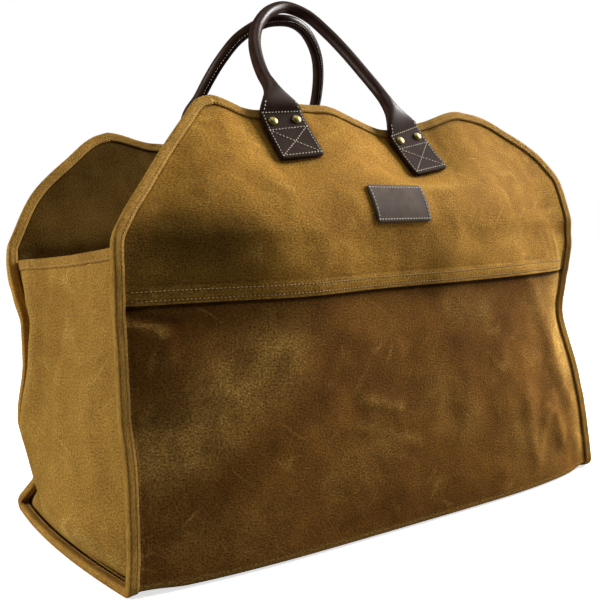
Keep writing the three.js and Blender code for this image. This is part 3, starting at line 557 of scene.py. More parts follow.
END_WALLS = {
    "left": {
        "end": -1,
        "seed": 21,
        "swell": table("height front middle back", [
            (0, 0, 0, 0), (12, 9, 15, 12), (26, 10, 17, 15), (70, 7, 14, 18), (135, 3, 9, 17), (221, 0, 0, 9),
            (258, -1, -2, 3),
        ]),
        "pinches": table("y z to_y to_z height", [(104, 62, -14, 3, 7)]),
        "folds": table("x z to_x to_z width height", [
            (-27, 26, -68, 8, 5, 2.4),
            (-40, 250, -46, 205, 6, 1.8),
            (-8, 185, -28, 166, 6, 1.6),
            (-28, 166, -72, 184, 6, 1.6),
            (-66, 88, -84, 62, 8, 1.8),
            (40, 230, 34, 160, 9, 2.2),
            (10, 150, 4, 70, 10, 2.2),
            (-50, 150, -56, 96, 8, 1.6),
            (-20, 90, -52, 30, 7, 2),
            (62, 120, 40, 60, 9, 1.8),
        ]),
    },
    "right": {
        "end": 1,
        "seed": 34,
        "swell": table("height front middle back", [
            (0, 0, 0, 0), (33, -3, -6, -3), (135, -21, -33, -20), (197, -30, -46, -28), (258, -25, -40, -24),
        ]),
        "pinches": {},
        "folds": table("x z to_x to_z width height", [
            (-30, 240, -34, 150, 10, 1.6), (30, 220, 26, 120, 11, 1.6), (-50, 80, -62, 40, 8, 1.4),
        ]),
    },
}


def edge_stations(points, inner, forward):
    """The way out past an edge and the way its cloth faces, from points a little way in on the cloth."""
    out = points - inner
    out = unit(out - forward * (out * forward).sum(-1, keepdims=True))
    return out, np.cross(forward, out)


def wall_swell(swell, height, across):
    """How far an end wall stands out of its plane: across runs from its front edge to its back."""
    out = np.zeros(np.shape(across))
    steep = across + SWELL_STEEP * np.sin(2 * np.pi * across) / (2 * np.pi)
    for name, place in SWELL_PLACES.items():
        gap = np.minimum(np.abs(steep - place) / SWELL_REACH, 1)
        out = out + along(swell, "height", name, height) * (1 + np.cos(np.pi * gap)) / 2
    return out


def pinched(pinches, y, z):
    """Corners pinched in along slanting lines: the cloth stands out above a line and drops below it."""
    total = np.zeros(np.shape(y))
    for start_y, start_z, to_y, to_z, height in zip(*pinches.values()):
        length = np.hypot(to_y - start_y, to_z - start_z)
        above = ((z - start_z) * (to_y - start_y) - (y - start_y) * (to_z - start_z)) / -length
        stands = smooth(above, *PINCH_EDGE) * (1 - PINCH_FADES_BY * smooth(above, *PINCH_FADE))
        total = total + height * (stands - PINCH_DROP)
    return total


def end_wall(wall):
    """The grids of an end wall's panel and of the flange round it."""
    end = wall["end"]
    share = np.linspace(0, 1, WALL_STEPS)
    levels = {name: BASE_FOLD + share * (top - BASE_FOLD) for name, top in WALL_TOP.items()}
    rows = body_rows(np.array([end, end * INNER_COLUMN]), levels["back"], levels["front"])
    points, inner = rows[:, 0], rows[:, 1]
    out, face = edge_stations(points, inner, unit(np.gradient(points, axis=0)))
    inside = lambda depth: points - out * depth + face * end * PLY
    line = inside(FLANGE)
    turns = len(FOLD_TURNS) // 2
    high = WALL_STEPS + turns
    back, front, bottom = line[:high][::-1], line[-high:], line[high - 1:len(line) - high + 1][::-1]
    across = ((front[0, 1] - bottom[:, 1]) / (front[0, 1] - back[0, 1]))[None, :, None]
    height = np.concatenate([np.zeros(turns), share * (WALL_TOP["front"] - BASE_FOLD)])
    settle = (1 - smooth(front[:, 2], *SETTLE_SPAN))[:, None, None]
    grid = front[:, None] * (1 - across) + back[:, None] * across
    grid = grid + settle * (bottom - front[0] * (1 - across[0]) - back[0] * across[0])
    flat_across, flat_height = np.broadcast_arrays(across[..., 0], height[:, None])
    y, z = grid[..., 1], grid[..., 2]
    waves = cloth_waves(WALL_WAVES, y, z, wall["seed"])
    folds = fold_height(wall["folds"], y, z) + waves + pinched(wall["pinches"], y, z)
    free = np.sin(np.pi * flat_across) ** FREE_POWER * smooth(flat_height, 0, FREE_FROM)
    grid[..., 0] += end * (wall_swell(wall["swell"], flat_height, flat_across) + folds * free)
    grid[..., 2] -= TOP_SAG * flat_height / WALL_TOP["front"] * 4 * flat_across * (1 - flat_across)
    flange = np.stack([inside(depth) for depth in FLANGE_DEPTHS], 1)
    return grid, flange


def join_meshes(name, *meshes):
    """Several meshes as one."""
    points, faces, weave = [], [], []
    marks = {"bent": [], "inside": []}
    for mesh in meshes:
        start = len(points)
        points += [vertex.co[:] for vertex in mesh.vertices]
        faces += [[start + v for v in face.vertices] for face in mesh.polygons]
        corners = {loop.vertex_index: mesh.uv_layers["weave"].data[loop.index].uv[:] for loop in mesh.loops}
        weave += [corners[v] for v in range(len(mesh.vertices))]
        for mark, values in marks.items():
            values += [point.value for point in mesh.attributes[mark].data]
    return new_mesh(name, np.array(points), faces, np.array(weave), **marks)


end_canvas = waxed_canvas(
    "end_canvas", (0.27, 0.14, 0.026, 1), (0.44, 0.247, 0.047, 1), (0.66, 0.43, 0.12, 1),
)
wall_grids = {}
wall_pieces = {}
for hand, wall in END_WALLS.items():
    wall_grids[hand], flange = end_wall(wall)
    panel = sheet_mesh("panel", wall_grids[hand][:, ::wall["end"]], CANVAS)
    turned = sheet_mesh("flange", flange[:, ::wall["end"]], CANVAS)
    wall_pieces[hand] = add_piece(
        join_meshes(f"end_wall_{hand}", panel, turned), end_canvas, f"gusset_{hand}",
    )

# Hems of the end walls
# A strip of the binding tape is folded over the top edge of each end wall and sewn through with one
# row, clear of the seams at its two ends.
TAPE = 1.0 * MM
TAPE_EDGE = 1.6 * MM
HEM_REACH = 8.5 * MM
HEM_INSET = 1.2 * MM
HEM_STITCH = (3.4 * MM, 2.5 * MM, 0.7 * MM)
STITCH_IN = 2 * MM
# How far in from its border a tape is pressed down, is half risen and stands clear of the cloth.
TAPE_SETS = np.array([2.2, 4.5, 6.5]) * MM
TAPE_BENDS = np.radians([75, 50, 25, 0, -25, -50, -75])
TAPE_INNER = 0.4 * MM
SINGLE_ROOM = CANVAS / 2 + 0.85 * MM
PRESSED = CANVAS / 2 + 0.1 * MM


def tape_rings(points, out, face, reach, high, low, pressed_high, pressed_low):
    """Rings round a tape folded over an edge. It is pressed down on the cloth along its two borders."""
    middle, half = (high + low) / 2, (high - low) / 2
    border, slope, risen = TAPE_SETS - reach
    section = [(-reach, pressed_high), (-reach, pressed_high + TAPE), (border, pressed_high + TAPE)]
    section += [(slope, high * 0.5 + pressed_high * 0.5 + TAPE), (risen, high + TAPE)]
    section += [(TAPE_EDGE * np.cos(bend), middle + (half + TAPE) * np.sin(bend)) for bend in TAPE_BENDS]
    section += [(risen, low - TAPE), (slope, low * 0.5 + pressed_low * 0.5 - TAPE)]
    section += [(border, pressed_low - TAPE), (-reach, pressed_low - TAPE), (-reach, pressed_low)]
    section += [(0, low), (TAPE_INNER, middle), (0, high)]
    placed = [
        points + out * outward + face * np.broadcast_to(above, len(points))[:, None]
        for outward, above in section
    ]
    return np.stack(placed, 1)


def loft_mesh(name, rings, closed, **marks):
    """A tube through rings of points, which meets its own start or has flat ends."""
    steps, count = rings.shape[:2]
    index = np.arange(steps * count).reshape(steps, count)
    ahead = np.roll(index, -1, 0) if closed else index[1:]
    here = index if closed else index[:-1]
    faces = np.stack([here, np.roll(here, -1, 1), np.roll(ahead, -1, 1), ahead], -1).reshape(-1, 4).tolist()
    if not closed:
        faces += [index[0, ::-1].tolist(), index[-1].tolist()]
    weave = np.stack([run_lengths(rings, 1), run_lengths(rings, 0)], -1).reshape(-1, 2)
    return new_mesh(name, rings.reshape(-1, 3), faces, weave, **marks)


def new_tree(name, places, sizes, made):
    """A geometry tree and its inputs: places to make something at, sizes and a material."""
    tree = bpy.data.node_groups.new(name, "GeometryNodeTree")
    sockets = [(places, "Geometry"), *[(size, "Float") for size in sizes], ("Material", "Material")]
    for socket, kind in sockets:
        tree.interface.new_socket(socket, in_out="INPUT", socket_type=f"NodeSocket{kind}")
    tree.interface.new_socket(made, in_out="OUTPUT", socket_type="NodeSocketGeometry")
    return tree, add_node(tree, "NodeGroupInput").outputs


def facing(tree):
    """The way the face looks at each point that a tree works on."""
    return output(tree, "GeometryNodeInputNamedAttribute", {"Name": "up"}, data_type="FLOAT_VECTOR")


def place_copies(tree, inputs, material):
    """The end of a tree: copies on points, made real and smooth, with their material."""
    placed = output(tree, "GeometryNodeInstanceOnPoints", inputs)
    real = output(tree, "GeometryNodeRealizeInstances", {"Geometry": placed})
    soft = output(tree, "GeometryNodeSetShadeSmooth", {"Geometry": real})
    made = output(tree, "GeometryNodeSetMaterial", {"Geometry": soft, "Material": material})
    add_node(tree, "NodeGroupOutput", {0: made})
    return tree


def stitch_tree():
    """Geometry nodes that lay thread stitches along lines, flat on the faces that the lines lie on."""
    tree, given = new_tree("stitches", "Lines", ("Pitch", "Length", "Thread"), "Stitches")
    curve = output(tree, "GeometryNodeMeshToCurve", {"Mesh": given["Lines"]})
    spacing = {"Curve": curve, "Length": given["Pitch"]}
    spaced = output(tree, "GeometryNodeResampleCurve", spacing, mode="LENGTH")
    tangent = output(tree, "GeometryNodeInputTangent")
    up = facing(tree)
    turned = output(tree, "FunctionNodeAlignRotationToVector", {"Vector": tangent}, axis="X")
    turning = {"Rotation": turned, "Vector": up}
    laid = output(tree, "FunctionNodeAlignRotationToVector", turning, axis="Z", pivot_axis="X")
    ball = output(tree, "GeometryNodeMeshUVSphere", {"Segments": 6, "Rings": 5, "Radius": 0.5})
    sizes = {"X": given["Length"], "Y": given["Thread"], "Z": given["Thread"]}
    size = output(tree, "ShaderNodeCombineXYZ", sizes)
    copies = {"Points": spaced, "Instance": ball, "Rotation": laid, "Scale": size}
    return place_copies(tree, copies, given["Material"])


def piece_on_points(name, points, edges, ups, tree, values):
    """A piece that a tree makes from points and the ways the face looks there."""
    mesh = bpy.data.meshes.new(name)
    mesh.from_pydata(points.tolist(), edges, [])
    mesh.attributes.new("up", "FLOAT_VECTOR", "POINT").data.foreach_set("vector", ups.ravel())
    piece = bpy.data.objects.new(name, mesh)
    bpy.context.scene.collection.objects.link(piece)
    modifier = piece.modifiers.new(tree.name, "NODES")
    modifier.node_group = tree
    for item in tree.interface.items_tree:
        if item.in_out == "INPUT" and item.name in values:
            modifier[item.identifier] = values[item.name]
    made = bpy.data.meshes.new_from_object(piece.evaluated_get(bpy.context.evaluated_depsgraph_get()))
    made.name = name
    piece.modifiers.remove(modifier)
    piece.data = made
    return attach(piece, "root")


STITCHES = stitch_tree()


def sew(name, lines, stitch, material):
    """Stitches along lines of points on a face, each of one pitch, length and thickness of thread."""
    points = np.concatenate([line for line, _ in lines])
    starts = np.cumsum([0] + [len(line) for line, _ in lines])
    edges = [(k, k + 1) for start, stop in zip(starts, starts[1:]) for k in range(start, stop - 1)]
    ups = np.concatenate([np.broadcast_to(up, line.shape) for line, up in lines])
    values = dict(zip(("Pitch", "Length", "Thread"), stitch), Material=material)
    piece_on_points(name, points, edges, ups, STITCHES, values)


def thread_material(name, colour):
    return new_material(name, {"Base Color": colour, "Roughness": 0.7})[0]


hem_canvas = waxed_canvas(
    "hem_tape", (0.25, 0.13, 0.025, 1), (0.44, 0.245, 0.052, 1), (0.60, 0.38, 0.11, 1),
)
tan_thread = thread_material("tan_thread", (0.50, 0.33, 0.125, 1))
hem_lines = []
for hand, grid in wall_grids.items():
    top = grid[-1, 2:-2].copy()
    for last, before in ((0, 1), (-1, -2)):
        top[last] += unit(top[before] - top[last]) * HEM_INSET
    below = grid[-3, 2:-2]
    out, face = edge_stations(top, below, unit(np.gradient(top, axis=0)))
    rings = tape_rings(top, out, face, HEM_REACH, SINGLE_ROOM, -SINGLE_ROOM, PRESSED, -PRESSED)
    hem = add_piece(loft_mesh(f"hem_tape_{hand}", rings, False), hem_canvas, f"hem_{hand}")
    for way in (1, -1):
        hem_lines.append((top - out * (HEM_REACH - STITCH_IN) + face * way * (PRESSED + TAPE), face * way))
sew("hem_stitches", hem_lines, HEM_STITCH, tan_thread)

# Yokes
# The upper front and back: a second piece of canvas whose lower edge is turned up into a hem, lapped
# over the sling and sewn down with two rows. Its shoulders slope up to the short top edge.
YOKE_FOOT = 219.3 * MM
LAP_PLY = 2.2 * MM
HEM_RISE = 0.9 * MM
HEM_ROWS = np.array([3.2, 10.4]) * MM
HEM_ROW_DENT = 0.2 * MM
HEM_ROW_WIDTH = 1.3 * MM
HEM_TOP = (9 * MM, 16 * MM)
HEM_ENDS = (BOUND_END, 32 * MM)
HEM_SEAM = np.linspace(-267, 267, 300) * MM
LAP_AT_ENDS = 0.55
LAP_FADE = (236 * MM, 272 * MM)
HEM_LEVELS = np.arange(0, 18, 0.9) * MM
YOKE_STEP = 3.2 * MM
YOKE_TOP_LEVELS = np.array([4, 2.6, 1.3, 0]) * MM
YOKE_STITCH = (3.6 * MM, 2.7 * MM, 1.0 * MM)
ON_CLOTH = CANVAS / 2 + 0.3 * MM


def lap(side, x, level):
    """How far a yoke stands outside the sling's cloth."""
    from_end = smooth(half_at(side, x, level) - np.abs(x), *HEM_ENDS)
    hem = HEM_RISE * from_end * (1 - smooth(level - YOKE_FOOT, *HEM_TOP))
    for row in HEM_ROWS:
        hem = hem - HEM_ROW_DENT * np.exp(-(((level - YOKE_FOOT - row) / HEM_ROW_WIDTH) ** 2))
    ply = LAP_PLY * (LAP_AT_ENDS + (1 - LAP_AT_ENDS) * from_end)
    return ply * (1 - smooth(level, *LAP_FADE)) + hem


def yoke_point(side, x, level):
    """A point in the middle of a yoke's cloth."""
    x, level = np.broadcast_arrays(x, level)
    return draped(side, x, level) + cloth_normal(side, x, level) * lap(side, x, level)[..., None]


def yoke_mesh(name, side):
    hem = YOKE_FOOT + HEM_LEVELS
    middle = np.arange(hem[-1] + 3 * MM, side["top"] - 5 * MM, YOKE_STEP)
    levels = np.concatenate([hem, middle, side["top"] - YOKE_TOP_LEVELS])
    levels = levels[::-1] if side is BACK else levels
    column, level = np.meshgrid(cloth_columns, levels)
    grid = yoke_point(side, column_x(side, column, level), level)
    return sheet_mesh(f"yoke_{name}", grid, CANVAS, wear_and_light_rows(side, cloth_columns, levels))


yoke_canvas = waxed_canvas(
    "yoke_canvas", (0.28, 0.130, 0.020, 1), (0.50, 0.260, 0.041, 1), (0.70, 0.44, 0.10, 1),
)
hem_seams = []
yokes = {}
for name, side in (("front", FRONT), ("back", BACK)):
    yokes[name] = add_piece(yoke_mesh(name, side), yoke_canvas, f"{name}_yoke")
    for row in HEM_ROWS:
        normal = cloth_normal(side, HEM_SEAM, np.full_like(HEM_SEAM, YOKE_FOOT + row))
        hem_seams.append((yoke_point(side, HEM_SEAM, YOKE_FOOT + row) + normal * ON_CLOTH, normal))
sew("yoke_stitches", hem_seams, YOKE_STITCH, tan_thread)

# Edge binding
# One long tape of the same canvas, folded over every raw edge: round both end seams, where it takes in
# the walls' flanges too, and along the two top edges. One row of stitches holds both its borders.
TAPE_REACH = 8 * MM
TAPE_STITCH = (3.6 * MM, 2.6 * MM, 0.85 * MM)
ROOM_FADE = 14 * MM
LAP_ROOM = 1.3 * MM
LAP_ROOM_FROM = (214 * MM, 219 * MM)
LAP_ROOM_TO = (236 * MM, 266 * MM)
END_TOP_LEVELS = np.array([21, 18, 15, 12, 9.5, 7, 5, 3.4, 2, 1, 0.3]) * MM
TOP_EDGE_STEPS = 80
HEM_EDGE = np.linspace(-272, 272, 400) * MM
# Painted shade along the seams: how far from a line it lies in full, and the width over which it fades.
TAPE_SHADE = (TAPE_REACH, 1.1 * MM)
HEM_SHADOW = (3.4 * MM, 1.2 * MM)
WALL_SHADE_SHARE = 0.25


def in_from_edge(side, x, level, forward, reach):
    """The point on the cloth one reach in from its edge, square to the way along the edge."""
    start = draped(side, x, level)
    inward = np.where(x > 0, -MM, MM)
    sideways = draped(side, x + inward, level) - start
    down = draped(side, x, level - MM) - start
    share_in = (down * forward).sum(-1)
    share_down = -(sideways * forward).sum(-1)
    way = sideways * share_in[:, None] + down * share_down[:, None]
    scale = reach / np.linalg.norm(way, axis=-1) * np.sign(share_in + share_down)
    return draped(side, x + inward * share_in * scale, level - MM * share_down * scale)


def end_run(side, hand, upwards):
    """Places up or down one bound end of a long side."""
    low = np.arange(BASE_FOLD, side["top"] - 24 * MM, CLOTH_STEP)
    level = np.concatenate([low, side["top"] - END_TOP_LEVELS])
    if not upwards:
        level = level[::-1]
    return side, column_x(side, np.full_like(level, hand), level), level


def top_run(side, rightwards):
    """Places along a top edge, between its two ends."""
    ends = column_x(side, np.array([-1.0, 1.0]), np.array([side["top"]] * 2))
    x = np.linspace(ends[0], ends[1], TOP_EDGE_STEPS)
    if not rightwards:
        x = x[::-1]
    return side, x, np.full_like(x, side["top"])


base_ends = {hand: base_rows(np.array([hand, hand * INNER_COLUMN])) for hand in (-1.0, 1.0)}
runs = [
    end_run(BACK, -1.0, False), base_ends[-1.0], end_run(FRONT, -1.0, True), top_run(FRONT, True),
    end_run(FRONT, 1.0, False), base_ends[1.0][::-1], end_run(BACK, 1.0, True), top_run(BACK, False),
]
run_points = [draped(*run) if isinstance(run, tuple) else run[:, 0] for run in runs]
edge = np.concatenate(run_points)
steps = unit(np.roll(edge, -1, 0) - edge)
forwards = unit(steps + np.roll(steps, 1, 0))
inner_points = []
start = 0
for run, points in zip(runs, run_points):
    forward = forwards[start:start + len(points)]
    start += len(points)
    inner_points.append(in_from_edge(*run, forward, TAPE_REACH) if isinstance(run, tuple) else run[:, 1])
out, face = edge_stations(edge, np.concatenate(inner_points), forwards)
wall_top = np.where(edge[:, 1] < 0, WALL_TOP["front"], WALL_TOP["back"])
flange_in = PLY * (1 - smooth(edge[:, 2], wall_top + CANVAS, wall_top + ROOM_FADE))
lap_in = LAP_ROOM * smooth(edge[:, 2], *LAP_ROOM_FROM) * (1 - smooth(edge[:, 2], *LAP_ROOM_TO))
high, low = SINGLE_ROOM + lap_in, -SINGLE_ROOM - flange_in
pressed_high, pressed_low = PRESSED + lap_in, -PRESSED - flange_in
rings = tape_rings(edge, out, face, TAPE_REACH, high, low, pressed_high, pressed_low)
# The tape is given lighter tones than the yokes' canvas and the hems' tape: painted light where its edges
# catch the light.
tape_canvas = waxed_canvas(
    "binding_tape", (0.32, 0.165, 0.031, 1), (0.56, 0.31, 0.066, 1), (0.66, 0.42, 0.12, 1),
)
binding = add_piece(loft_mesh("binding", rings, True), tape_canvas, "edge_binding")


def near_line(piece, line, reach, width):
    """1 on a piece's points out to one reach from a line, and down to 0 over a width beyond."""
    tree = KDTree(len(line))
    for k, point in enumerate(line):
        tree.insert(point, k)
    tree.balance()
    gaps = np.array([tree.find(vertex.co)[2] for vertex in piece.data.vertices])
    return np.exp(-((np.maximum(gaps - reach, 0) / width) ** 2))


# Painted shade: a dark line on the cloth beside the binding's border, and on the sling under the yokes' hems;
# weaker on the end walls.
hem_edges = np.concatenate([yoke_point(side, HEM_EDGE, YOKE_FOOT) for side in (FRONT, BACK)])
for piece in (sling, *yokes.values(), *wall_pieces.values()):
    dark = near_line(piece, edge, *TAPE_SHADE) * (WALL_SHADE_SHARE if piece in wall_pieces.values() else 1)
    if piece is sling:
        dark = np.maximum(dark, near_line(piece, hem_edges, *HEM_SHADOW))
    piece.data.attributes.new("seam", "FLOAT", "POINT").data.foreach_set("value", dark)
seam_line = edge - out * (TAPE_REACH - STITCH_IN)
sew("binding_stitches", [
    (seam_line + face * (pressed_high + TAPE)[:, None], face),
    (seam_line + face * (pressed_low - TAPE)[:, None], -face),
], TAPE_STITCH, tan_thread)

# Handles
# Each handle is one strap of thick dark leather. Its two ends lie flat on a yoke as tabs, sewn round and
# crosswise; between them its edges are rolled together into a round grip and sewn along the inside.
TAB_LENGTH = 62 * MM
STRAP_SIDES = 48
STRAP_STEP = 2.5 * MM
STRAP_TIP = 1.2 * MM
LINE_STEPS = 40
SEAM_POINTS = 24
SEAM_SINKS = 0.75 * MM
SEAM_WIDTH = 1.1 * MM
SEAM_CLOSES = (78 * MM, 100 * MM)
GRIP_SEWN_FROM = 92 * MM
GRIP_SEWN_OUT = 6.15 * MM
GRIP_SHINES = (56 * MM, 80 * MM)
TAB_STITCH = (3.2 * MM, 2.2 * MM, 1.1 * MM)
GRIP_STITCH = (3.4 * MM, 2.3 * MM, 0.6 * MM)
STRAP_SECTIONS = table("along half_width half_thick", [
    (0, 21, 1.5), (2.5, 23, 1.75), (20, 23, 1.75), (36, 23, 1.75), (52, 22.5, 1.9), (60, 19.5, 3.2),
    (68, 14.8, 4.8), (77, 10, 6.1), (87, 7.6, 6.4), (98, 6.2, 6.2),
])
SQUARENESS = table("along power", [
    (0, 9), (36, 9), (52, 7), (60, 4), (68, 3), (77, 2.4), (87, 2), (98, 2),
])
TAB_SEAT = table("along front_left front_right back_left back_right seat", [
    (0, -79, 80.5, -67, 102, 2.1),
    (20, -79.5, 77.5, -66.5, 102, 2.2),
    (36, -80.5, 74.5, -66, 102.5, 2.9),
    (52, -81, 71.3, -65.5, 103, 4.5),
    (60, -81, 69, -65.5, 103, 8.2),
])
TAB_FEELERS = np.array([-22, -11, 0, 11, 22]) * MM
GRIPS = {
    "front": {
        "side": FRONT,
        "base": np.array([0, -34, 379]) * MM,
        "lean": np.radians(41.7),
        "seam": np.radians(-66),
        "route": table("across rise stand", [
            (-80, 26, 7), (-78, 44, 4), (-72, 72, 2), (-62, 99, 1), (-44, 127, 0), (-18, 151, 0), (6, 160, 0),
            (28, 151, 0), (43, 125, 0), (53, 96, 0), (60, 67, 0), (64.5, 38, 1), (64, 14, 3),
        ]),
    },
    "back": {
        "side": BACK,
        "base": np.array([0, 160, 354]) * MM,
        "lean": np.radians(-30),
        "seam": np.radians(-105),
        "route": table("across rise stand", [
            (-66, 30, 15), (-63, 55, 7), (-60, 80, 2), (-53, 104, 0), (-39, 129, 0), (-15, 148, 0),
            (3, 153, 0), (22, 153, 0), (40, 146, 0), (56, 133, 0), (69, 117, 0), (79, 98, 1),
            (88, 76, 4), (95, 54, 8), (102, 31, 15),
        ]),
    },
}


def tab_seats(side, column):
    """Where the middle of a stiff tab lies on its yoke, and how it faces, from its foot up."""
    points, faces = [], []
    for tab_along, x, seat in zip(TAB_SEAT["along"], TAB_SEAT[column], TAB_SEAT["seat"]):
        levels = side["top"] - np.arange(0, 120, 0.5) * MM
        down = run_lengths(yoke_point(side, np.full_like(levels, x), levels), 0)
        level = np.interp(TAB_LENGTH - tab_along, down, levels)
        middle_x = np.array([x])
        normal = cloth_normal(side, middle_x, np.array([level]))[0]
        rising = np.diff(yoke_point(side, np.array([x, x]), level + np.array([-MM, MM])), axis=0)[0]
        touches = yoke_point(side, x + TAB_FEELERS, np.full(len(TAB_FEELERS), level)) + normal * CANVAS / 2
        tab_face = unit(-side["sign"] * np.cross(touches[-1] - touches[0], unit(rising)))
        middle = (touches[0] + touches[-1]) / 2
        bump = ((touches - middle) @ tab_face).max()
        points.append(middle + tab_face * (bump + seat))
        faces.append(tab_face)
    return np.array(points), np.array(faces)


def smooth_line(stops):
    """A smooth line through stops: the values in each row are points in space first."""
    ends = [2 * stops[0] - stops[1]], [2 * stops[-1] - stops[-2]]
    stops = np.concatenate([ends[0], stops, ends[1]])
    span = np.linalg.norm(np.diff(stops[:, :3], axis=0), axis=1)[:, None] ** 0.5
    slope = np.diff(stops, axis=0) / span
    wide = (stops[2:] - stops[:-2]) / (span[1:] + span[:-1])
    tangent = slope[:-1] - wide + slope[1:]
    first, second = stops[1:-2], stops[2:-1]
    t = np.linspace(0, 1, LINE_STEPS, endpoint=False)[:, None, None]
    rest = 1 - t
    pull = span[1:-1] * t * rest * (tangent[:-1] * rest - tangent[1:] * t)
    parts = first * rest**2 * (1 + 2 * t) + second * t**2 * (3 - 2 * t) + pull
    line = parts.transpose(1, 0, 2).reshape(-1, stops.shape[1])
    return np.concatenate([line, stops[-2:-1]])


def handle_line(name, grip):
    """The middle of a strap at even steps: how far along, its point, the way across and the way it faces."""
    side = grip["side"]
    rising = np.array([0, np.sin(grip["lean"]), np.cos(grip["lean"])])
    outward = side["sign"] * np.array([0, np.cos(grip["lean"]), -np.sin(grip["lean"])])
    across, rise, stand = (column[:, None] for column in grip["route"].values())
    roll = grip["base"] + np.array([1, 0, 0]) * across + rising * rise + outward * stand
    left, left_face = tab_seats(side, f"{name}_left")
    right, right_face = tab_seats(side, f"{name}_right")
    points = np.concatenate([left, roll, right[::-1]])
    faces = np.concatenate([left_face, np.broadcast_to(outward, roll.shape), right_face[::-1]])
    line = smooth_line(np.concatenate([points, faces], 1))
    gone = run_lengths(line[:, :3], 0)
    at = np.linspace(0, gone[-1], int(gone[-1] / STRAP_STEP))
    at = np.unique(np.concatenate([at, [STRAP_TIP, gone[-1] - STRAP_TIP]]))
    point, face = (np.stack([np.interp(at, gone, line[:, k]) for k in range(s, s + 3)], 1) for s in (0, 3))
    forward = unit(np.gradient(point, at, axis=0))
    face = unit(face - forward * (face * forward).sum(-1, keepdims=True))
    return {"along": at, "point": point, "across": np.cross(face, forward), "face": face}


def strap_size(line):
    from_end = np.minimum(line["along"], line["along"][-1] - line["along"])
    width, thick = (along(STRAP_SECTIONS, "along", name, from_end) for name in ("half_width", "half_thick"))
    return width, thick, along(SQUARENESS, "along", "power", from_end) / MM, from_end


def strap_rings(line):
    """Rings round a strap, evenly spaced: flat at the tabs, and round with a sunken seam along the grip."""
    width, thick, power, from_end = strap_size(line)
    angle = np.linspace(0, 2 * np.pi, 721)
    rings = []
    for k in range(len(width)):
        bend = lambda value: np.sign(value) * np.abs(value) ** (2 / power[k])
        outline = np.stack([width[k] * bend(np.cos(angle)), thick[k] * bend(np.sin(angle))], 1)
        gone = run_lengths(outline, 0)
        even = np.linspace(0, gone[-1], STRAP_SIDES, endpoint=False)
        a, b = (np.interp(even, gone, outline[:, c]) for c in (0, 1))
        seam = SEAM_SINKS * np.exp(-((a / SEAM_WIDTH) ** 2)) * (b < 0) * smooth(from_end[k], *SEAM_CLOSES)
        rings.append(line["point"][k] + np.outer(a, line["across"][k]) + np.outer(b + seam, line["face"][k]))
    return np.array(rings)


def on_strap(line, places):
    """Points on a strap's outer face and its facing there: places are (along, across) from either end."""
    width, thick, power, _ = strap_size(line)
    places = np.array(places)
    get = lambda values: np.interp(places[:, 0], line["along"], values)
    vector = lambda values: np.stack([get(values[:, k]) for k in range(3)], 1)
    share = np.clip(np.abs(places[:, 1]) / get(width), 0, 0.98)
    height = get(thick) * (1 - share ** get(power)) ** (1 / get(power))
    face = unit(vector(line["face"]))
    return vector(line["point"]) + vector(line["across"]) * places[:, 1:] + face * height[:, None], face


def straight_run(start, end):
    return np.linspace(start, end, SEAM_POINTS) * MM


def tab_seams(line):
    """The rows of stitches on the two tabs of a strap: round each, two across it and a cross below them."""
    total = line["along"][-1] / MM
    seams = []
    edge_width, foot, crossed, upper = 19.8, 3.4, 34.0, 52.5
    side_rows_up = [(foot, edge_width), (upper, edge_width - 0.4), (61, 15.6)]
    for flip in (False, True):
        turn = lambda run: np.stack([total * MM - run[:, 0], run[:, 1]], 1) if flip else run
        for hand in (-1, 1):
            stops = [(a, hand * w) for a, w in side_rows_up]
            seams += [turn(straight_run(p, q)) for p, q in zip(stops, stops[1:])]
        for row in (foot, crossed, upper):
            seams.append(turn(straight_run((row, -edge_width), (row, edge_width))))
        for hand in (-1, 1):
            seams.append(turn(straight_run((foot, -hand * edge_width), (crossed, hand * edge_width))))
    return [on_strap(line, seam) for seam in seams]


def grip_seam(line, turn):
    """The row of stitches beside the closed edges, on the inside of a grip."""
    keep = np.minimum(line["along"], line["along"][-1] - line["along"]) > GRIP_SEWN_FROM
    way = line["across"] * np.cos(turn) + line["face"] * np.sin(turn)
    return line["point"][keep] + way[keep] * GRIP_SEWN_OUT, way[keep]


def leather_material(name, dark, light):
    """Dark leather: close grain and slight clouds of tone, polished where it is rolled into a grip."""
    material, tree, shader = new_material(name, {"Specular IOR Level": 0.11})
    gloss = ramp(tree, mark(tree, "rolled"), 0, 1, 0.8, 0.33)
    tree.links.new(gloss, shader.inputs["Roughness"])
    place = add_node(tree, "ShaderNodeTexCoord").outputs["Object"]
    tone = ramp(tree, noise(tree, place, 60, 3), 0.3, 0.7)
    tree.links.new(mix(tree, tone, dark, light), shader.inputs["Base Color"])
    grain = add_node(tree, "ShaderNodeTexVoronoi", {"Vector": place, "Scale": 900}).outputs["Distance"]
    height = calculate(tree, "ADD", grain, noise(tree, place, 420, 3))
    bump = add_node(tree, "ShaderNodeBump", {"Height": height, "Strength": 0.22, "Distance": 0.3 * MM})
    tree.links.new(bump.outputs["Normal"], shader.inputs["Normal"])
    return material


leather = leather_material("dark_leather", (0.026, 0.0115, 0.0068, 1), (0.052, 0.0245, 0.0145, 1))
pale_thread = thread_material("pale_thread", (0.85, 0.79, 0.62, 1))
lines = {name: handle_line(name, grip) for name, grip in GRIPS.items()}
for name, line in lines.items():
    rolled = np.repeat(smooth(strap_size(line)[3], *GRIP_SHINES), STRAP_SIDES)
    strap = loft_mesh(f"strap_{name}", strap_rings(line), False, rolled=rolled)
    add_piece(strap, leather, f"handle_{name}")
    sew(f"tab_stitches_{name}", tab_seams(line), TAB_STITCH, pale_thread)
    seam = grip_seam(line, GRIPS[name]["seam"])
    sew(f"grip_stitches_{name}", [seam], GRIP_STITCH, pale_thread)

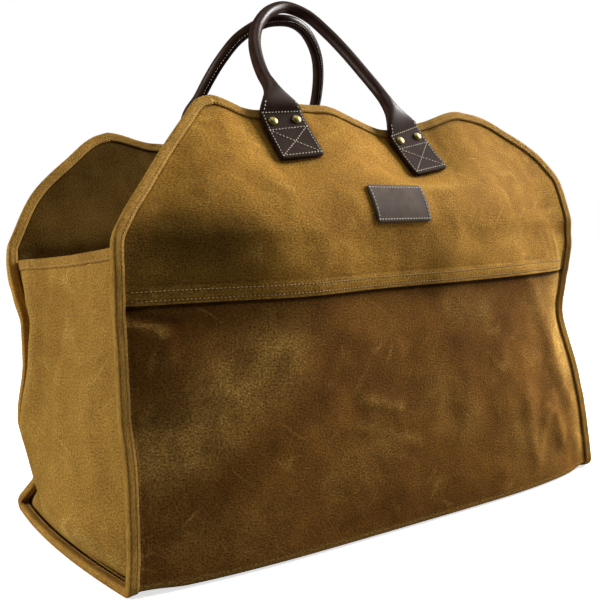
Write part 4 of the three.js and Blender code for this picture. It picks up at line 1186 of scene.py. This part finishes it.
# Rivets
# Brass rivets, two through each tab. A domed cap stands on the strap, and its shank goes through the strap
# and the yoke and is clenched over a burr on the inside.
RIVET_ALONG = 43 * MM
RIVET_SPREAD = 12.5 * MM
CAP_RADIUS = 4.5 * MM
CAP_HEIGHT = 1.9 * MM
CAP_SEAT = 2.3 * MM
BURR_DEPTH = 6.2 * MM
BURR_HEIGHT = 1.0 * MM


def rivet_tree():
    """Geometry nodes that set a rivet on each point, square to the face that the point lies on."""
    tree, given = new_tree("rivets", "Points", ("Radius", "Height", "Seat", "Depth"), "Rivets")
    ball = output(tree, "GeometryNodeMeshUVSphere", {"Segments": 24, "Rings": 12, "Radius": 1})
    sizes = {"X": given["Radius"], "Y": given["Radius"], "Z": given["Height"]}
    size = output(tree, "ShaderNodeCombineXYZ", sizes)
    seat = output(tree, "ShaderNodeCombineXYZ", {"Z": given["Seat"]})
    cap = output(tree, "GeometryNodeTransform", {"Geometry": ball, "Scale": size, "Translation": seat})
    disc_size = {"Vertices": 24, "Radius": given["Radius"], "Depth": BURR_HEIGHT}
    disc = output(tree, "GeometryNodeMeshCylinder", disc_size)
    inside = output(tree, "ShaderNodeCombineXYZ", {"Z": calculate(tree, "MULTIPLY", given["Depth"], -1.0)})
    burr = output(tree, "GeometryNodeTransform", {"Geometry": disc, "Translation": inside})
    both = add_node(tree, "GeometryNodeJoinGeometry")
    tree.links.new(cap, both.inputs["Geometry"])
    tree.links.new(burr, both.inputs["Geometry"])
    turned = output(tree, "FunctionNodeAlignRotationToVector", {"Vector": facing(tree)}, axis="Z")
    copies = {"Points": given["Points"], "Instance": both.outputs["Geometry"], "Rotation": turned}
    return place_copies(tree, copies, given["Material"])


brass_finish = {"Base Color": (0.38, 0.30, 0.10, 1), "Metallic": 1, "Roughness": 0.42}
brass = new_material("rivet_brass", brass_finish)[0]
rivets = rivet_tree()
rivet_sizes = {"Radius": CAP_RADIUS, "Height": CAP_HEIGHT, "Seat": CAP_SEAT, "Depth": BURR_DEPTH}
for name, line in lines.items():
    total = line["along"][-1]
    places = [(a, hand * RIVET_SPREAD) for a in (RIVET_ALONG, total - RIVET_ALONG) for hand in (-1, 1)]
    _, looks = on_strap(line, places)
    at, across = np.array(places).T
    middle, ways = (
        np.stack([np.interp(at, line["along"], line[key][:, k]) for k in range(3)], 1)
        for key in ("point", "across")
    )
    seats = middle + ways * across[:, None]
    piece = piece_on_points(f"rivets_{name}", seats, [], looks, rivets, {**rivet_sizes, "Material": brass})
    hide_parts(*[f"rivet_{name}_{k}" for k in (1, 2, 3, 4)])

# Leather patch
# A plain patch of leather on the front yoke, paler than the handles and with rounded corners. It is sewn
# on round its border, and its face is bare.
PATCH = {"x": 2.5 * MM, "z": 294 * MM, "width": 67 * MM, "height": 33 * MM, "thick": 1.8 * MM}
PATCH_SEAM = 2.6 * MM
PATCH_CORNER = 3 * MM
PATCH_STITCH = (3.4 * MM, 2.4 * MM, 1.1 * MM)


def on_patch(x, level, rise):
    """Points over the front yoke, bent to its shape, and the way it faces there."""
    normal = cloth_normal(FRONT, x, level)
    return yoke_point(FRONT, x, level) + normal * (ON_CLOTH + rise), normal


across, up = np.meshgrid(
    PATCH["width"] * np.linspace(-0.5, 0.5, 45),
    PATCH["height"] * np.linspace(-0.5, 0.5, 23),
)
beyond = np.maximum([
    np.abs(across) - PATCH["width"] / 2 + PATCH_CORNER,
    np.abs(up) - PATCH["height"] / 2 + PATCH_CORNER,
], 1e-9)
cut = 1 - np.minimum(1, PATCH_CORNER / np.hypot(*beyond))
patch_grid, _ = on_patch(
    PATCH["x"] + across - np.sign(across) * beyond[0] * cut,
    PATCH["z"] + up - np.sign(up) * beyond[1] * cut,
    PATCH["thick"] / 2,
)
patch_leather = leather_material("patch_leather", (0.096, 0.068, 0.052, 1), (0.146, 0.107, 0.084, 1))
add_piece(sheet_mesh("patch", patch_grid, PATCH["thick"]), patch_leather, "label_patch")
half_x, half_z = PATCH["width"] / 2 - PATCH_SEAM, PATCH["height"] / 2 - PATCH_SEAM
corners = [(-half_x, -half_z), (half_x, -half_z), (half_x, half_z), (-half_x, half_z), (-half_x, -half_z)]
patch_lines = []
for begin, stop in zip(corners, corners[1:]):
    run = np.linspace(begin, stop, 30) + [PATCH["x"], PATCH["z"]]
    patch_lines.append(on_patch(run[:, 0], run[:, 1], PATCH["thick"]))
sew("patch_stitches", patch_lines, PATCH_STITCH, pale_thread)

# Studio
# A plain pale floor that the camera sees as white, a strong soft light high on the right and a lower one
# beside it, one on the left for the end wall, and a weak one above.
CAMERA_PLACE = (-0.5764, -0.7381, 0.3074)
CAMERA_TURN = np.radians([83.2, 0, -36.53])
CAMERA_LENS = 55.2
WORLD_FILL = 0.04
FLOOR_BOUNCE = (0.3, 0.3, 0.3, 1)
FLOOR_SEEN = (0.9, 0.9, 0.9, 1)
FLOOR_GLOW = 0.7
FLOOR_REACH = 2.2

floor_mesh = bpy.data.meshes.new("floor")
floor_corners = [(FLOOR_REACH * x, FLOOR_REACH * y, 0) for x, y in ((-1, -1), (1, -1), (1, 1), (-1, 1))]
floor_mesh.from_pydata(floor_corners, [], [(0, 1, 2, 3)])
floor = bpy.data.objects.new("floor", floor_mesh)
pale_floor, tree, shader = new_material("pale_floor", {"Roughness": 0.9, "Specular IOR Level": 0})
in_view = add_node(tree, "ShaderNodeLightPath").outputs["Is Camera Ray"]
tree.links.new(mix(tree, in_view, FLOOR_BOUNCE, FLOOR_SEEN), shader.inputs["Base Color"])
shader.inputs["Emission Color"].default_value = (1, 1, 1, 1)
tree.links.new(ramp(tree, in_view, 0, 1, 0, FLOOR_GLOW), shader.inputs["Emission Strength"])
floor_mesh.materials.append(pale_floor)
bpy.context.scene.collection.objects.link(floor)


def soft_light(name, place, aim, size, power):
    light = bpy.data.lights.new(name, "AREA")
    light.shape = "RECTANGLE"
    light.size, light.size_y = size
    light.energy = power
    lamp = bpy.data.objects.new(name, light)
    lamp.location = place
    way = np.array(aim) - np.array(place)
    tip = np.arccos(-way[2] / np.linalg.norm(way))
    lamp.rotation_euler = (tip, 0, np.arctan2(way[1], way[0]) - np.pi / 2)
    bpy.context.scene.collection.objects.link(lamp)


soft_light("top_light", (0.2, -0.05, 2.0), (0.05, -0.05, 0.25), (1.2, 0.8), 6)
soft_light("left_light", (-2.0, 0.7, 0.8), (-0.25, 0, 0.15), (1.0, 1.2), 39)
soft_light("right_light", (1.7, -0.2, 1.5), (0.05, -0.05, 0.25), (0.7, 0.7), 72)
soft_light("low_light", (1.9, -0.5, 0.9), (0.05, -0.05, 0.25), (0.7, 0.7), 26)

world = bpy.data.worlds.new("studio")
bpy.context.scene.world = world
world.use_nodes = True
sky = world.node_tree
seen = add_node(sky, "ShaderNodeLightPath").outputs["Is Camera Ray"]
strength = ramp(sky, seen, 0, 1, WORLD_FILL, 1)
background = sky.nodes["Background"]
background.inputs["Color"].default_value = (1, 1, 1, 1)
sky.links.new(strength, background.inputs["Strength"])

camera_data = bpy.data.cameras.new("camera")
camera_data.lens = CAMERA_LENS
camera = bpy.data.objects.new("camera", camera_data)
camera.location = CAMERA_PLACE
camera.rotation_euler = CAMERA_TURN
bpy.context.scene.collection.objects.link(camera)
bpy.context.scene.camera = camera
bpy.context.scene.view_settings.view_transform = "Standard"
